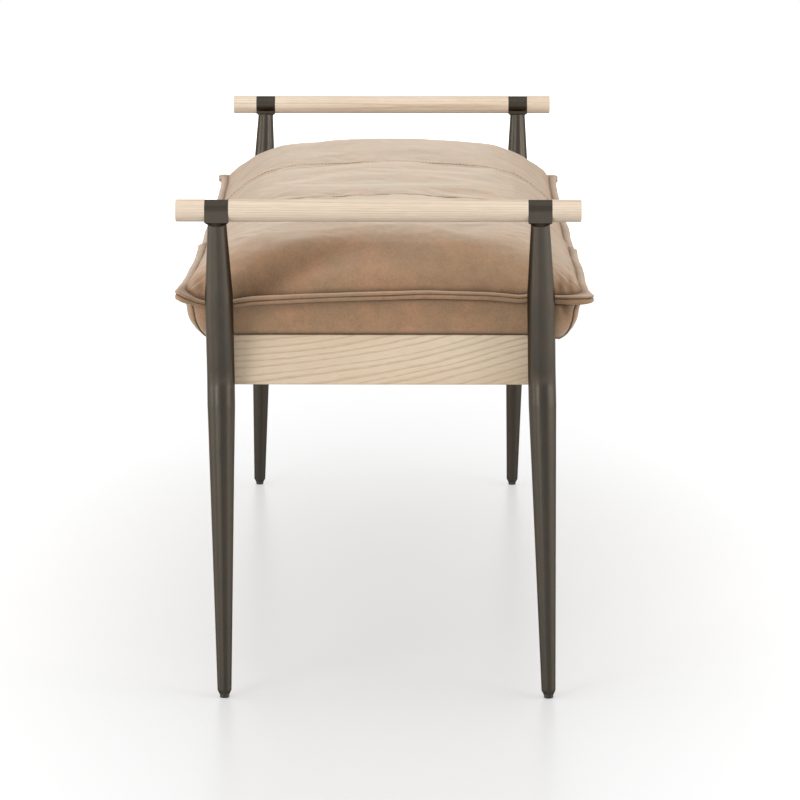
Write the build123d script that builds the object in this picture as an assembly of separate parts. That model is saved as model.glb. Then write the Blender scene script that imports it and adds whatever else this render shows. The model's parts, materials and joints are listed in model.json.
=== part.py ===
"""Dining bench with forged legs, ash handles, an ash apron and a loose boxed cushion.

Millimetres. The origin is on the floor under the middle of the bench, +Z is up and +X runs
along the length. Front is the -Y side and right is the +X end. Each end frame, its two legs
and its handle, is the other one turned half a turn about Z.
"""

from build123d import *
import os

# Handles
handle_spacing = 1250.0
handle_height = 561.5
handle_overhang = 46.55
handle_diameter = 25.4
handle_end_round = 1.4
handle_stud_diameter = 8.0
handle_stud_engagement = 24.0

# Legs: each axis runs from the foot to the knee at the apron and on to the tee head.
# The end frames lean a little sideways, so their middle has a place at each height.
knee_height = 365.0
knee_inset = 44.0
foot_outset = 9.0
knee_spacing = 367.6
head_draw_in = 3.5
foot_spread = 4.4
head_lean = -2.1
knee_lean = 0.6
foot_lean = 6.9
leg_diameter = 31.8
knee_bend_radius = 60.0
straight_reach = 33.0
swell_drop = 85.0
swell_diameter = 29.2
swell_round = 500.0
foot_chamfer = 4.5
foot_diameter = 16.2
foot_tip_diameter = 11.6
neck_drop = 2.8
neck_diameter = 21.4
neck_taper_share = 0.465
neck_taper_round = 160.0

# Tee head of a leg
head_width = 27.0
head_shy = 0.4
head_block_depth = 21.0

# Flat pad of a leg against the end rail, and the studs in it
pad_proud = 0.4
pad_width = 22.0
pad_rise = 40.0
pad_drop = 8.0
stud_diameter = 6.0
stud_pitch = 24.0
stud_rise = 5.0
stud_in_leg = 12.0
stud_past_nut = 2.0
washer_diameter = 12.5
washer_thickness = 1.6
nut_across_flats = 10.0
nut_height = 5.0

# Glides under the feet
glide_diameter = 10.9
glide_thickness = 4.0
glide_round = 1.2
glide_stem_diameter = 5.0
glide_stem_length = 16.0

# Apron
rail_above_knee = 45.5
rail_height = 58.0
rail_thickness = 24.0
rail_end_setback = 3.7
rail_edge_round = 1.5
nut_pocket_start = 24.0
nut_pocket_length = 34.0
nut_pocket_margin = 4.5

# Deck and what carries it
deck_thickness = 12.0
cleat_size = 18.0
brace_thickness = 22.0
brace_spacing = 367.0
brace_height = 38.0

# Screws
screw_head_diameter = 8.0
screw_shank_diameter = 4.0
screw_head_height = 2.6
screw_length = 26.0
screw_tip = 5.0

# Cushion: the lips are its widest line, and its corners stand out from drawn-in sides
cushion_end_gap = 7.8
cushion_side_overhang = 44.0
boxing_height = 42.2
boxing_undercut = 26.0
lip_thickness = 5.0
lip_width = 10.0
lip_overlap = 1.0
lip_round = 2.0
lip_corner_radius = 16.0
end_draw_in = 13.0
side_draw_in = 8.0
crown_rise = 66.0
crown_corner_radius = 30.0
crown_flat_width = 80.0
crown_end_inset = 130.0
panel_seam_spacing = 367.0
leather_thickness = 1.5
bottom_cover_thickness = 1.5

# Zip in the bottom cover
zip_end_margin = 139.0
zip_width = 24.0
zip_tape_thickness = 0.8
zip_chain_width = 5.0
zip_inset = 60.0
slider_length = 11.0
slider_width = 8.0

# Clearances
thread_clearance = 0.05
joinery_clearance = 0.5
foam_clearance = 0.3
seat_clearance = 0.3
cut_overrun = 5.0

# Shares of the crown's rise, each with the share of its cap's insets reached at that height
crown_rise_shares = (0.0, 0.20, 0.42, 0.64, 0.80, 0.91, 0.97, 1.0)
crown_inset_shares = (0.0, 0.045, 0.125, 0.225, 0.335, 0.55, 0.80, 1.0)

# Shares of the boxing's height, from the lips down, each with its share of the undercut
boxing_drop_shares = (0.0, 0.20, 0.55, 0.80, 0.93, 1.0)
boxing_inset_shares = (0.06, 0.20, 0.34, 0.55, 0.78, 1.0)

# Largest corner radius of the cushion's outlines, as a share of their half width
largest_corner_share = 0.8

# Screw places, as shares of half the length of the cleat that they lie along
deck_screw_shares = (-0.92, -0.30, 0.30, 0.92)
cleat_screw_shares = (-0.77, -0.24, 0.24, 0.77)
end_screw_shares = (-0.72, 0.72)

# Worked out from the sizes above
head_spacing = knee_spacing - head_draw_in
foot_spacing = knee_spacing + foot_spread
handle_length = head_spacing + 2 * handle_overhang
head_diameter = handle_diameter - 2 * head_shy
neck_height = handle_height - handle_diameter / 2 - neck_drop
shoulder_height = neck_height - neck_taper_share * (neck_height - knee_height)
foot_height = glide_thickness + foot_chamfer
knee_x = handle_spacing / 2 - knee_inset
rail_face_x = knee_x - leg_diameter / 2 - pad_proud
rail_inner_x = rail_face_x - rail_thickness
rail_face_y = (knee_spacing + leg_diameter) / 2 - rail_end_setback
rail_inner_y = rail_face_y - rail_thickness
rail_top = knee_height + rail_above_knee
deck_bottom = rail_top - deck_thickness
cleat_line_y = rail_inner_y - cleat_size / 2
side_cleat_half = rail_inner_x - nut_pocket_start - nut_pocket_length - cleat_size
end_cleat_half = rail_inner_y - cleat_size - joinery_clearance
cushion_bottom = rail_top + seat_clearance
cushion_width = 2 * (rail_face_y + cushion_side_overhang)
crown_side_inset = (cushion_width - crown_flat_width) / 2 - lip_width
lip_bottom = cushion_bottom + boxing_height
lip_top = lip_bottom + 2 * lip_thickness

END_NAMES = {1: "right", -1: "left"}
SIDE_NAMES = {1: "back", -1: "front"}
HALF_TURN = Rotation(0, 0, 180)


def save(name, shapes):
    """Writes one node, which may be a group of alike solids."""
    shape = Compound(children=shapes) if isinstance(shapes, list) else shapes
    export_step(shape, f"parts/{name}.step")


def box_between(low, high):
    """Box from its lowest corner to its highest."""
    size = [high[i] - low[i] for i in range(3)]
    centre = [(high[i] + low[i]) / 2 for i in range(3)]
    return Pos(*centre) * Box(*size)


def rod_between(start, end, diameter):
    """Round rod from one point to another."""
    axis = Vector(*end) - Vector(*start)
    return extrude(Plane(origin=start, z_dir=axis) * Circle(diameter / 2), amount=axis.length)


def end_frame_pair(name, shape):
    """Saves a piece of the right end frame and the same piece turned round for the left."""
    save(f"{name}_{END_NAMES[1]}", shape)
    save(f"{name}_{END_NAMES[-1]}", HALF_TURN * shape)


# Points on the leg axes of the right end frame, where side is -1 in front and 1 at the back


def foot_point(side):
    return Vector(handle_spacing / 2 + foot_outset, side * foot_spacing / 2 + foot_lean, 0)


def knee_point(side):
    return Vector(knee_x, side * knee_spacing / 2 + knee_lean, knee_height)


def head_point(side):
    return Vector(handle_spacing / 2, side * head_spacing / 2 + head_lean, handle_height)


def at_height(start, end, height):
    """Point at a height on the line from start to end."""
    return start + (end - start) * ((height - start.Z) / (end.Z - start.Z))


def turned_shaft(start, end, stations, round_radius):
    """Round shaft on the line from start to end, from stations of height and diameter."""
    axis = end - start
    rise = axis.normalized().Z
    points = [(diameter / 2, (height - start.Z) / rise) for height, diameter in stations]
    outline = FilletPolyline(*points, radius=round_radius) if len(points) > 2 else Polyline(*points)
    bottom = points[0][1]
    top = points[-1][1]
    closing = Polyline(points[-1], (0, top), (0, bottom), points[0])
    profile = make_face(Plane.XZ * (outline + closing))
    return Plane(origin=start, z_dir=axis) * revolve(profile, axis=Axis.Z)


def stud_heights():
    return [knee_height + stud_rise + turn * stud_pitch for turn in (0, 1)]


def leg(side):
    """One forged leg of the right end frame with its tee head and pad."""
    foot = foot_point(side)
    knee = knee_point(side)
    head = head_point(side)
    bend_start = at_height(foot, knee, knee_height - straight_reach)
    bend_end = at_height(knee, head, knee_height + straight_reach)
    lower_stations = [
        (foot_height, foot_diameter),
        (knee_height - swell_drop, swell_diameter),
        (bend_start.Z, leg_diameter),
    ]
    lower = turned_shaft(foot, knee, lower_stations, swell_round)
    tip_stations = [
        (0, foot_tip_diameter),
        (glide_thickness, foot_tip_diameter),
        (foot_height, foot_diameter),
    ]
    tip = turned_shaft(foot, knee, tip_stations, 0)
    path = FilletPolyline(bend_start, knee, bend_end, radius=knee_bend_radius)
    bend = sweep(Plane(origin=bend_start, z_dir=knee - foot) * Circle(leg_diameter / 2), path=path)
    upper_stations = [
        (bend_end.Z, leg_diameter),
        (shoulder_height, leg_diameter),
        (neck_height, neck_diameter),
    ]
    upper = turned_shaft(knee, head, upper_stations, neck_taper_round)
    body = lower + tip + bend + upper + tee_head(side) + leg_pad(side)
    body -= box_between(
        (foot.X - leg_diameter, foot.Y - leg_diameter, -leg_diameter),
        (foot.X + leg_diameter, foot.Y + leg_diameter, glide_thickness),
    )
    across = Vector(0, head_width, 0)
    body -= rod_between(head - across, head + across, handle_stud_diameter + 2 * thread_clearance)
    for height in stud_heights():
        bore_end = Vector(rail_face_x + stud_in_leg + joinery_clearance, knee.Y, height)
        bore_start = Vector(rail_face_x - cut_overrun, knee.Y, height)
        body -= rod_between(bore_start, bore_end, stud_diameter + 2 * thread_clearance)
    stem_top = at_height(foot, knee, glide_thickness + glide_stem_length + joinery_clearance)
    body -= rod_between(foot, stem_top, glide_stem_diameter + 2 * thread_clearance)
    return body


def tee_head(side):
    """Short barrel round the handle's stud, a flat-sided block below it and its neck."""
    head = head_point(side)
    knee = knee_point(side)
    half_width = Vector(0, head_width / 2, 0)
    barrel = rod_between(head - half_width, head + half_width, head_diameter)
    block_bottom = head.Z - handle_diameter / 2
    outer = head.X + head_diameter / 2
    block = box_between(
        (outer - head_block_depth, head.Y - head_width / 2, block_bottom),
        (outer, head.Y + head_width / 2, head.Z),
    )
    neck_centre = at_height(knee, head, neck_height)
    foot_of_block = Plane(origin=(outer - head_block_depth / 2, head.Y, block_bottom))
    wide = foot_of_block * Rectangle(head_block_depth, head_width)
    narrow = Plane(origin=neck_centre, z_dir=head - knee) * Circle(neck_diameter / 2)
    return barrel + block + loft([narrow.face(), wide.face()])


def leg_pad(side):
    """Flat pad between the bent leg and the end rail."""
    knee = knee_point(side)
    return box_between(
        (rail_face_x, knee.Y - pad_width / 2, knee.Z - pad_drop),
        (knee.X, knee.Y + pad_width / 2, knee.Z + pad_rise),
    )


def glide(side):
    """Nylon glide: a round pad on the floor and a stem up into the foot."""
    foot = foot_point(side)
    knee = knee_point(side)
    centre = at_height(foot, knee, glide_thickness)
    disc = Pos(centre.X, centre.Y, glide_thickness / 2) * Cylinder(glide_diameter / 2, glide_thickness)
    disc = fillet(disc.edges().group_by(Axis.Z)[0], glide_round)
    stem_start = at_height(foot, knee, glide_thickness / 2)
    stem_end = at_height(foot, knee, glide_thickness + glide_stem_length)
    return disc + rod_between(stem_start, stem_end, glide_stem_diameter)


def handle_end(side):
    """Short ash end of a handle, outside the leg head."""
    head = head_point(side)
    inner = head + Vector(0, side * head_width / 2, 0)
    outer = Vector(head.X, side * handle_length / 2 + head_lean, head.Z)
    piece = rod_between(inner, outer, handle_diameter)
    rims = piece.edges().filter_by(GeomType.CIRCLE).sort_by(Axis.Y)
    piece = fillet(rims[-1] if side > 0 else rims[0], handle_end_round)
    return piece - handle_stud_bore(side)


def handle_rod():
    """Ash rod of a handle, between the two leg heads."""
    front = head_point(-1) + Vector(0, head_width / 2, 0)
    back = head_point(1) - Vector(0, head_width / 2, 0)
    return rod_between(front, back, handle_diameter) - handle_stud_bore(-1) - handle_stud_bore(1)


def handle_stud(side, extra_length=0.0, extra_radius=0.0):
    """Threaded stud through a leg head into both pieces of wood."""
    head = head_point(side)
    reach = Vector(0, head_width / 2 + handle_stud_engagement + extra_length, 0)
    return rod_between(head - reach, head + reach, handle_stud_diameter + 2 * extra_radius)


def handle_stud_bore(side):
    return handle_stud(side, joinery_clearance, thread_clearance)


# Apron


def nut_seat_x():
    return rail_inner_x - nut_pocket_start


def leg_stud(side, height, extra_radius=0.0):
    """Threaded stud from a leg pad, through the end rail, to its nut in the side rail."""
    inner = nut_seat_x() - washer_thickness - nut_height - stud_past_nut
    outer = rail_face_x + stud_in_leg
    y = knee_point(side).Y
    return rod_between((inner, y, height), (outer, y, height), stud_diameter + 2 * extra_radius)


def leg_fastener(side, height, blank, thickness, offset):
    """Washer or nut on a leg stud, from a flat blank, seated in the side rail's pocket."""
    origin = (nut_seat_x() - offset, knee_point(side).Y, height)
    plane = Plane(origin=origin, x_dir=(0, 1, 0), z_dir=(-1, 0, 0))
    return extrude(plane * blank, amount=thickness)


def end_rail():
    """Ash rail across the right end, drilled for the leg studs."""
    rail = box_between(
        (rail_inner_x, -rail_face_y, rail_top - rail_height),
        (rail_face_x, rail_face_y, rail_top),
    )
    outer_edges = rail.edges().filter_by(Axis.Y).group_by(Axis.X)[-1]
    rail = fillet(outer_edges, rail_edge_round)
    for side in (-1, 1):
        for height in stud_heights():
            rail -= leg_stud(side, height, thread_clearance)
    return rail - [cleat_screw_place(spot) * screw(thread_clearance) for spot in end_cleat_spots()]


def nut_pocket(end):
    """Space for the washers and nuts in the back rail, near its right or left end."""
    near = end * nut_seat_x()
    far = end * (nut_seat_x() - nut_pocket_length)
    middle = sum(stud_heights()) / 2
    half_height = (stud_pitch + washer_diameter) / 2 + nut_pocket_margin
    outer = knee_spacing / 2 + abs(knee_lean) + washer_diameter / 2 + joinery_clearance
    return box_between(
        (min(near, far), rail_inner_y - cut_overrun, middle - half_height),
        (max(near, far), outer, middle + half_height),
    )


def side_rail():
    """Ash rail along the back, between the end rails, with a nut pocket near each end."""
    rail = box_between(
        (-rail_inner_x, rail_inner_y, rail_top - rail_height),
        (rail_inner_x, rail_face_y, rail_top),
    )
    outer_edges = rail.edges().filter_by(Axis.X).group_by(Axis.Y)[-1]
    rail = fillet(outer_edges, rail_edge_round) - nut_pocket(1) - nut_pocket(-1)
    for height in stud_heights():
        rail -= leg_stud(1, height, thread_clearance)
        rail -= HALF_TURN * leg_stud(-1, height, thread_clearance)
    return rail - [cleat_screw_place(spot) * screw(thread_clearance) for spot in side_cleat_spots()]


# Deck, cleats, braces and screws


def screw(extra_radius=0.0):
    """Countersunk wood screw with its head's top at the origin, pointing down."""
    head = screw_head_diameter / 2 + extra_radius
    shank = screw_shank_diameter / 2 + extra_radius
    shank_end = screw_tip - screw_length
    points = [(0, 0), (head, 0), (shank, -screw_head_height), (shank, shank_end), (0, -screw_length)]
    return revolve(make_face(Plane.XZ * Polyline(*points, close=True)), axis=Axis.Z)


def side_cleat_spots():
    """Screw heads on the back side cleat's inner face, each with the way the screw points."""
    y = rail_inner_y - cleat_size
    z = deck_bottom - cleat_size / 2
    return [((share * side_cleat_half, y, z), (0, -1, 0)) for share in cleat_screw_shares]


def end_cleat_spots():
    """Screw heads on the right end cleat's inner face."""
    x = rail_inner_x - cleat_size
    z = deck_bottom - cleat_size / 2
    return [((x, share * end_cleat_half, z), (-1, 0, 0)) for share in end_screw_shares]


def cleat_screw_place(spot):
    """Plane whose +Z comes out of the screw's head."""
    return Plane(origin=spot[0], z_dir=spot[1])


def side_cleat():
    """Back cleat, which carries the deck's long edge."""
    cleat = box_between(
        (-side_cleat_half, rail_inner_y - cleat_size, deck_bottom - cleat_size),
        (side_cleat_half, rail_inner_y, deck_bottom),
    )
    cleat -= [cleat_screw_place(spot) * screw(thread_clearance) for spot in side_cleat_spots()]
    return cleat - deck_screws(thread_clearance) - brace_screws(thread_clearance)


def end_cleat():
    """Right cleat, which carries the deck's short edge."""
    cleat = box_between(
        (rail_inner_x - cleat_size, -end_cleat_half, deck_bottom - cleat_size),
        (rail_inner_x, end_cleat_half, deck_bottom),
    )
    return cleat - [cleat_screw_place(spot) * screw(thread_clearance) for spot in end_cleat_spots()]


def brace(end):
    """Cross brace under the deck, notched at both ends for the side cleats."""
    x = end * brace_spacing / 2
    piece = box_between(
        (x - brace_thickness / 2, -rail_inner_y, deck_bottom - brace_height),
        (x + brace_thickness / 2, rail_inner_y, deck_bottom),
    )
    notch = box_between(
        (x - brace_thickness, rail_inner_y - cleat_size, deck_bottom - cleat_size),
        (x + brace_thickness, rail_inner_y + cut_overrun, deck_bottom + cut_overrun),
    )
    piece -= [notch, mirror(notch, about=Plane.XZ)]
    return piece - deck_screws(thread_clearance) - brace_screws(thread_clearance)


def deck():
    """Plywood deck, flush with the rails' tops."""
    half_length = rail_inner_x - joinery_clearance
    half_width = rail_inner_y - joinery_clearance
    board = box_between((-half_length, -half_width, deck_bottom), (half_length, half_width, rail_top))
    return board - deck_screws(thread_clearance)


def deck_screws(extra_radius=0.0):
    """Screws down through the deck, along both side cleats and into the braces."""
    lines = [side * cleat_line_y for side in (-1, 1)]
    places = [(share * side_cleat_half, y) for y in lines for share in deck_screw_shares]
    places += [(end * brace_spacing / 2, 0) for end in (-1, 1)]
    return [Pos(x, y, rail_top) * screw(extra_radius) for x, y in places]


def brace_screws(extra_radius=0.0):
    """Screws up through the braces' ends into the side cleats."""
    bottom = deck_bottom - brace_height
    upwards = Rotation(180, 0, 0)
    corners = [(end * brace_spacing / 2, side * cleat_line_y) for end in (-1, 1) for side in (-1, 1)]
    return [Pos(x, y, bottom) * upwards * screw(extra_radius) for x, y in corners]


# Cushion


def cushion_half_length():
    """Half length at the corners, from the gap between the lips' middle and a leg's inner face."""
    axis_x = at_height(knee_point(1), head_point(1), lip_bottom).X
    return axis_x - leg_diameter / 2 - cushion_end_gap + end_draw_in


def drawn_in_outline(inset, corner_radius, height, end_inset=0):
    """Face at a height: the lips' outline, drawn in at its sides and inset all round.

    A separate inset at the ends may be given."""
    x = cushion_half_length() - (end_inset or inset)
    y = cushion_width / 2 - inset
    corners = [(x, y), (-x, y), (-x, -y), (x, -y)]
    middles = [(0, y - side_draw_in), (-x + end_draw_in, 0), (0, -y + side_draw_in), (x - end_draw_in, 0)]
    sides = [ThreePointArc(corners[i], middles[i], corners[(i + 1) % 4]) for i in range(4)]
    face = make_face(sides)
    largest_radius = largest_corner_share * (y - side_draw_in)
    return (Pos(0, 0, height) * fillet(face.vertices(), min(corner_radius, largest_radius))).face()


def crown_form(shrink, bottom):
    """Domed form above the lips, from a height up, smaller by shrink all round."""
    top = lip_top + crown_rise - shrink
    sections = []
    for rise_share, inset_share in zip(crown_rise_shares, crown_inset_shares):
        growth = inset_share * crown_side_inset
        height = bottom + rise_share * (top - bottom)
        end_inset = lip_width + shrink + inset_share * crown_end_inset
        radius = crown_corner_radius + growth
        sections.append(drawn_in_outline(lip_width + shrink + growth, radius, height, end_inset))
    return loft(sections)


def boxing_form(shrink, bottom):
    """Rounded form from under the lips down to a height, smaller by shrink all round."""
    sections = []
    for drop_share, inset_share in zip(boxing_drop_shares, boxing_inset_shares):
        growth = inset_share * boxing_undercut
        height = lip_bottom - drop_share * (lip_bottom - bottom)
        sections.append(drawn_in_outline(lip_width + shrink + growth, crown_corner_radius, height))
    return loft(sections)


def lip(bottom):
    """Soft leather lip round the cushion."""
    slab = extrude(drawn_in_outline(0, lip_corner_radius, bottom), amount=lip_thickness)
    rims = slab.edges().group_by(Axis.Z)
    slab = fillet(rims[0] + rims[-1], lip_round)
    opening = drawn_in_outline(lip_width + lip_overlap, crown_corner_radius, bottom)
    return slab - extrude(opening, amount=lip_thickness)


def crown_panels():
    """The crown's leather, cut into three panels at the cross seams."""
    cover = crown_form(0, lip_top) - crown_form(leather_thickness, lip_top)
    seam = panel_seam_spacing / 2
    end = cushion_half_length()
    spans = {"left": (-end, -seam), "middle": (-seam, seam), "right": (seam, end)}
    panels = {}
    for name, (start, stop) in spans.items():
        low = (start, -cushion_width / 2, lip_top)
        high = (stop, cushion_width / 2, lip_top + crown_rise)
        panels[name] = cover & box_between(low, high)
    return panels


def boxing_strips():
    """The leather band below the lips, cut into four strips at the corner seams."""
    band = boxing_form(0, cushion_bottom) - boxing_form(leather_thickness, cushion_bottom)
    x = cushion_half_length() + cut_overrun
    y = cushion_width / 2 + cut_overrun
    outlines = {
        "front": [(x, -y), (-x, -y), (y - x, 0), (x - y, 0)],
        "back": [(-x, y), (x, y), (x - y, 0), (y - x, 0)],
        "left": [(-x, -y), (-x, y), (y - x, 0)],
        "right": [(x, y), (x, -y), (x - y, 0)],
    }
    strips = {}
    for name, outline in outlines.items():
        plan = Pos(0, 0, cushion_bottom) * make_face(Polyline(*outline, close=True))
        strips[name] = band & extrude(plan, amount=boxing_height)
    return strips


def foam_core():
    """Firm foam under the lips' line."""
    gap = leather_thickness + foam_clearance
    return boxing_form(gap, cushion_bottom + bottom_cover_thickness + foam_clearance)


def foam_topper():
    """Soft domed layer that fills the crown, down to the foam core."""
    gap = leather_thickness + foam_clearance
    bottom = lip_bottom + foam_clearance
    outline = drawn_in_outline(lip_width + gap, crown_corner_radius, bottom)
    return crown_form(gap, lip_top) + extrude(outline, amount=lip_top - bottom)


def bottom_cover():
    """Cloth under the cushion, with a slot for the zip."""
    inset = lip_width + boxing_undercut + leather_thickness
    outline = drawn_in_outline(inset, crown_corner_radius, cushion_bottom)
    cloth = extrude(outline, amount=bottom_cover_thickness)
    return cloth - zip_block(-zip_half_length(), zip_half_length(), zip_width, 0, bottom_cover_thickness)


def zip_half_length():
    return cushion_half_length() - zip_end_margin


def zip_block(start, stop, width, low, high):
    """Block along the zip's line, between two places in X and two heights above the cushion's bottom."""
    middle = cushion_width / 2 - lip_width - boxing_undercut - zip_inset
    return box_between(
        (start, middle - width / 2, cushion_bottom + low),
        (stop, middle + width / 2, cushion_bottom + high),
    )


def zip_strip():
    """Zip's tape with its closed chain, no lower than the bottom cover."""
    half = zip_half_length()
    tape_bottom = bottom_cover_thickness - zip_tape_thickness
    tape = zip_block(-half, half, zip_width, tape_bottom, bottom_cover_thickness)
    return tape + zip_block(-half, half - slider_length, zip_chain_width, 0, tape_bottom)


def zip_slider():
    """Slider at the closed end of the zip's chain."""
    half = zip_half_length()
    return zip_block(half - slider_length, half, slider_width, 0, bottom_cover_thickness - zip_tape_thickness)


def save_all():
    """Builds and writes every node."""
    os.makedirs("parts", exist_ok=True)
    studs = []
    washers = []
    nuts = []
    bore = Circle(stud_diameter / 2 + thread_clearance)
    washer = Circle(washer_diameter / 2) - bore
    nut = RegularPolygon(nut_across_flats / 2, 6, major_radius=False) - bore
    for side in (-1, 1):
        turned_side = SIDE_NAMES[-side]
        one_leg = leg(side)
        save(f"leg_{SIDE_NAMES[side]}_right", one_leg)
        save(f"leg_{turned_side}_left", HALF_TURN * one_leg)
        save(f"glide_{SIDE_NAMES[side]}_right", glide(side))
        save(f"glide_{turned_side}_left", HALF_TURN * glide(side))
        save(f"handle_end_{SIDE_NAMES[side]}_right", handle_end(side))
        save(f"handle_end_{turned_side}_left", HALF_TURN * handle_end(side))
        for height in stud_heights():
            studs.append(leg_stud(side, height))
            washers.append(leg_fastener(side, height, washer, washer_thickness, 0))
            nuts.append(leg_fastener(side, height, nut, nut_height, washer_thickness))
    save("leg_studs", studs + [HALF_TURN * stud for stud in studs])
    save("leg_washers", washers + [HALF_TURN * piece for piece in washers])
    save("leg_nuts", nuts + [HALF_TURN * piece for piece in nuts])

    end_frame_pair("handle_rod", handle_rod())
    handle_studs = [handle_stud(side) for side in (-1, 1)]
    save("handle_studs", handle_studs + [HALF_TURN * stud for stud in handle_studs])

    end_frame_pair("end_rail", end_rail())
    save("side_rail_back", side_rail())
    save("side_rail_front", HALF_TURN * side_rail())
    end_frame_pair("end_cleat", end_cleat())
    save("side_cleat_back", side_cleat())
    save("side_cleat_front", HALF_TURN * side_cleat())
    save("brace_left", brace(-1))
    save("brace_right", brace(1))
    save("seat_deck", deck())
    save("deck_screws", deck_screws())
    save("brace_screws", brace_screws())
    cleat_screws = [cleat_screw_place(spot) * screw() for spot in side_cleat_spots() + end_cleat_spots()]
    save("cleat_screws", cleat_screws + [HALF_TURN * piece for piece in cleat_screws])

    for name, panel in crown_panels().items():
        save(f"crown_panel_{name}", panel)
    for name, strip in boxing_strips().items():
        save(f"boxing_{name}", strip)
    save("lip_upper", lip(lip_bottom + lip_thickness))
    save("lip_lower", lip(lip_bottom))
    save("foam_core", foam_core())
    save("foam_topper", foam_topper())
    save("bottom_cover", bottom_cover())
    save("zip_strip", zip_strip())
    save("zip_slider", zip_slider())


if __name__ == "__main__":
    save_all()
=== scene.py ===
"""Dining bench: bent forged legs, ash handles and apron, and a loose boxed nubuck cushion.

Sizes are in millimetres until they are put into a mesh. +X runs along the length to the right
end, +Y to the back and +Z up, with the origin on the floor under the middle of the bench.
"""

from __future__ import annotations

import json
import logging
import math
from dataclasses import dataclass
from enum import Enum
from typing import Any, Sequence

import bmesh
import bpy
import numpy as np
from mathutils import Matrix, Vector

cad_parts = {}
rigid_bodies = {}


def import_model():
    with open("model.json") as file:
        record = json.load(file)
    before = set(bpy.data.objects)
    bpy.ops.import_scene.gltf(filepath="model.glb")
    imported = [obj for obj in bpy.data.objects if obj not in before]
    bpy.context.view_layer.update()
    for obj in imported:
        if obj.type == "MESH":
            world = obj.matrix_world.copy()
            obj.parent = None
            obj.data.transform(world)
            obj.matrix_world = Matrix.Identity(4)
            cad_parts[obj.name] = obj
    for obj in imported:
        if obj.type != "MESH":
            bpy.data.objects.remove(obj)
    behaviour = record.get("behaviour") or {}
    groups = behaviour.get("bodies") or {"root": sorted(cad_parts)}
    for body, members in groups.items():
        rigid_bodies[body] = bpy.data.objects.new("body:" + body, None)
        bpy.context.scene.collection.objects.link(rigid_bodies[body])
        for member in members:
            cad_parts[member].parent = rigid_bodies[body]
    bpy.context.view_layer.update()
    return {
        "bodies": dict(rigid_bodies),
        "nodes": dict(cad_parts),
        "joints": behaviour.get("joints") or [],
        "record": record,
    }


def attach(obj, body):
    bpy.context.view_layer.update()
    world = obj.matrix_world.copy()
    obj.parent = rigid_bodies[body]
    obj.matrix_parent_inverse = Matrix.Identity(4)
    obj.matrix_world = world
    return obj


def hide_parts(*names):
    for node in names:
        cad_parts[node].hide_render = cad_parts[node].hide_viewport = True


LOG = logging.getLogger("bench")
MM = 0.001

# Types: grids of numbers, pieces, materials, and the tables of the cushion's curves
Grid, Piece, Skin = np.ndarray, bpy.types.Object, bpy.types.Material
Tree, Socket = bpy.types.NodeTree, bpy.types.NodeSocket
Point = tuple[float, float, float]
Stations = tuple[float, ...]
Bells = tuple[Point, ...]

# Kinds of node, and the settings that many of them share
PLACE, SPLIT = "ShaderNodeTexCoord", "ShaderNodeSeparateXYZ"
NOISE, VORONOI, WAVE = "ShaderNodeTexNoise", "ShaderNodeTexVoronoi", "ShaderNodeTexWave"
MATH, VECTOR_MATH, RANGE = "ShaderNodeMath", "ShaderNodeVectorMath", "ShaderNodeMapRange"
MIX, BUMP, MAPPING = "ShaderNodeMix", "ShaderNodeBump", "ShaderNodeMapping"
PRINCIPLED = "ShaderNodeBsdfPrincipled"
COLOURS, SMOOTH = {"data_type": "RGBA"}, {"interpolation_type": "SMOOTHSTEP"}
TIMES, TIMES_PLUS = {"operation": "MULTIPLY"}, {"operation": "MULTIPLY_ADD"}
LARGER, SCALED, LENGTH = {"operation": "MAXIMUM"}, {"operation": "SCALE"}, {"operation": "LENGTH"}


class Body(Enum):
    """The two bodies that pieces ride on."""

    FRAME = "frame"
    CUSHION = "cushion"


class Run(Enum):
    """The way that the grain of a piece of wood runs."""

    LENGTHWAYS = (0.0, 0.0, math.pi / 2)
    CROSSWAYS = (0.0, 0.0, 0.0)


# Colours and nodes


def linear(hex_colour: str) -> tuple[float, float, float, float]:
    """Turns an sRGB hex colour to linear light.

    Args:
        hex_colour: The colour as "#RRGGBB".
    Returns:
        Red, green, blue and alpha 1, as a shader takes them.
    """
    shares = [int(hex_colour[i : i + 2], 16) / 255 for i in (1, 3, 5)]
    red, green, blue = (c / 12.92 if c <= 0.04045 else ((c + 0.055) / 1.055) ** 2.4 for c in shares)
    return red, green, blue, 1.0


def per_metre(size: float) -> float:
    """Scale of a pattern whose features are this many millimetres across."""
    return 1000.0 / size


def add_node(
    tree: Tree,
    kind: str,
    settings: dict[str, Any] | None = None,
    inputs: dict[str | int, Any] | None = None,
) -> bpy.types.Node:
    """Adds one node. A colour Mix takes its factor at 0 and colours at 6 and 7, and gives output 2.

    Args:
        tree: Node tree of the material or the world.
        kind: The node's bl_idname.
        settings: Properties of the node.
        inputs: Values for its sockets by name or number, or sockets to link to them. A node
            stands for its first output.
    Returns:
        The new node.
    """
    node = tree.nodes.new(kind)
    for name, value in (settings or {}).items():
        setattr(node, name, value)
    for key, value in (inputs or {}).items():
        if isinstance(value, bpy.types.Node):
            value = value.outputs[0]
        if isinstance(value, bpy.types.NodeSocket):
            tree.links.new(value, node.inputs[key])
        else:
            node.inputs[key].default_value = value
    return node


@dataclass(frozen=True)
class Finish:
    """A finish, which makes its material when it is asked for."""

    name: str

    def nodes(self, tree: Tree) -> Socket:
        """Adds the finish's nodes and returns the shader socket."""
        raise NotImplementedError

    def material(self) -> Skin:
        """Makes the material with this finish's nodes."""
        made = bpy.data.materials.new(self.name)
        made.use_nodes = True
        made.node_tree.nodes.clear()
        shader = self.nodes(made.node_tree)
        add_node(made.node_tree, "ShaderNodeOutputMaterial", inputs={"Surface": shader})
        return made


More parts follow.
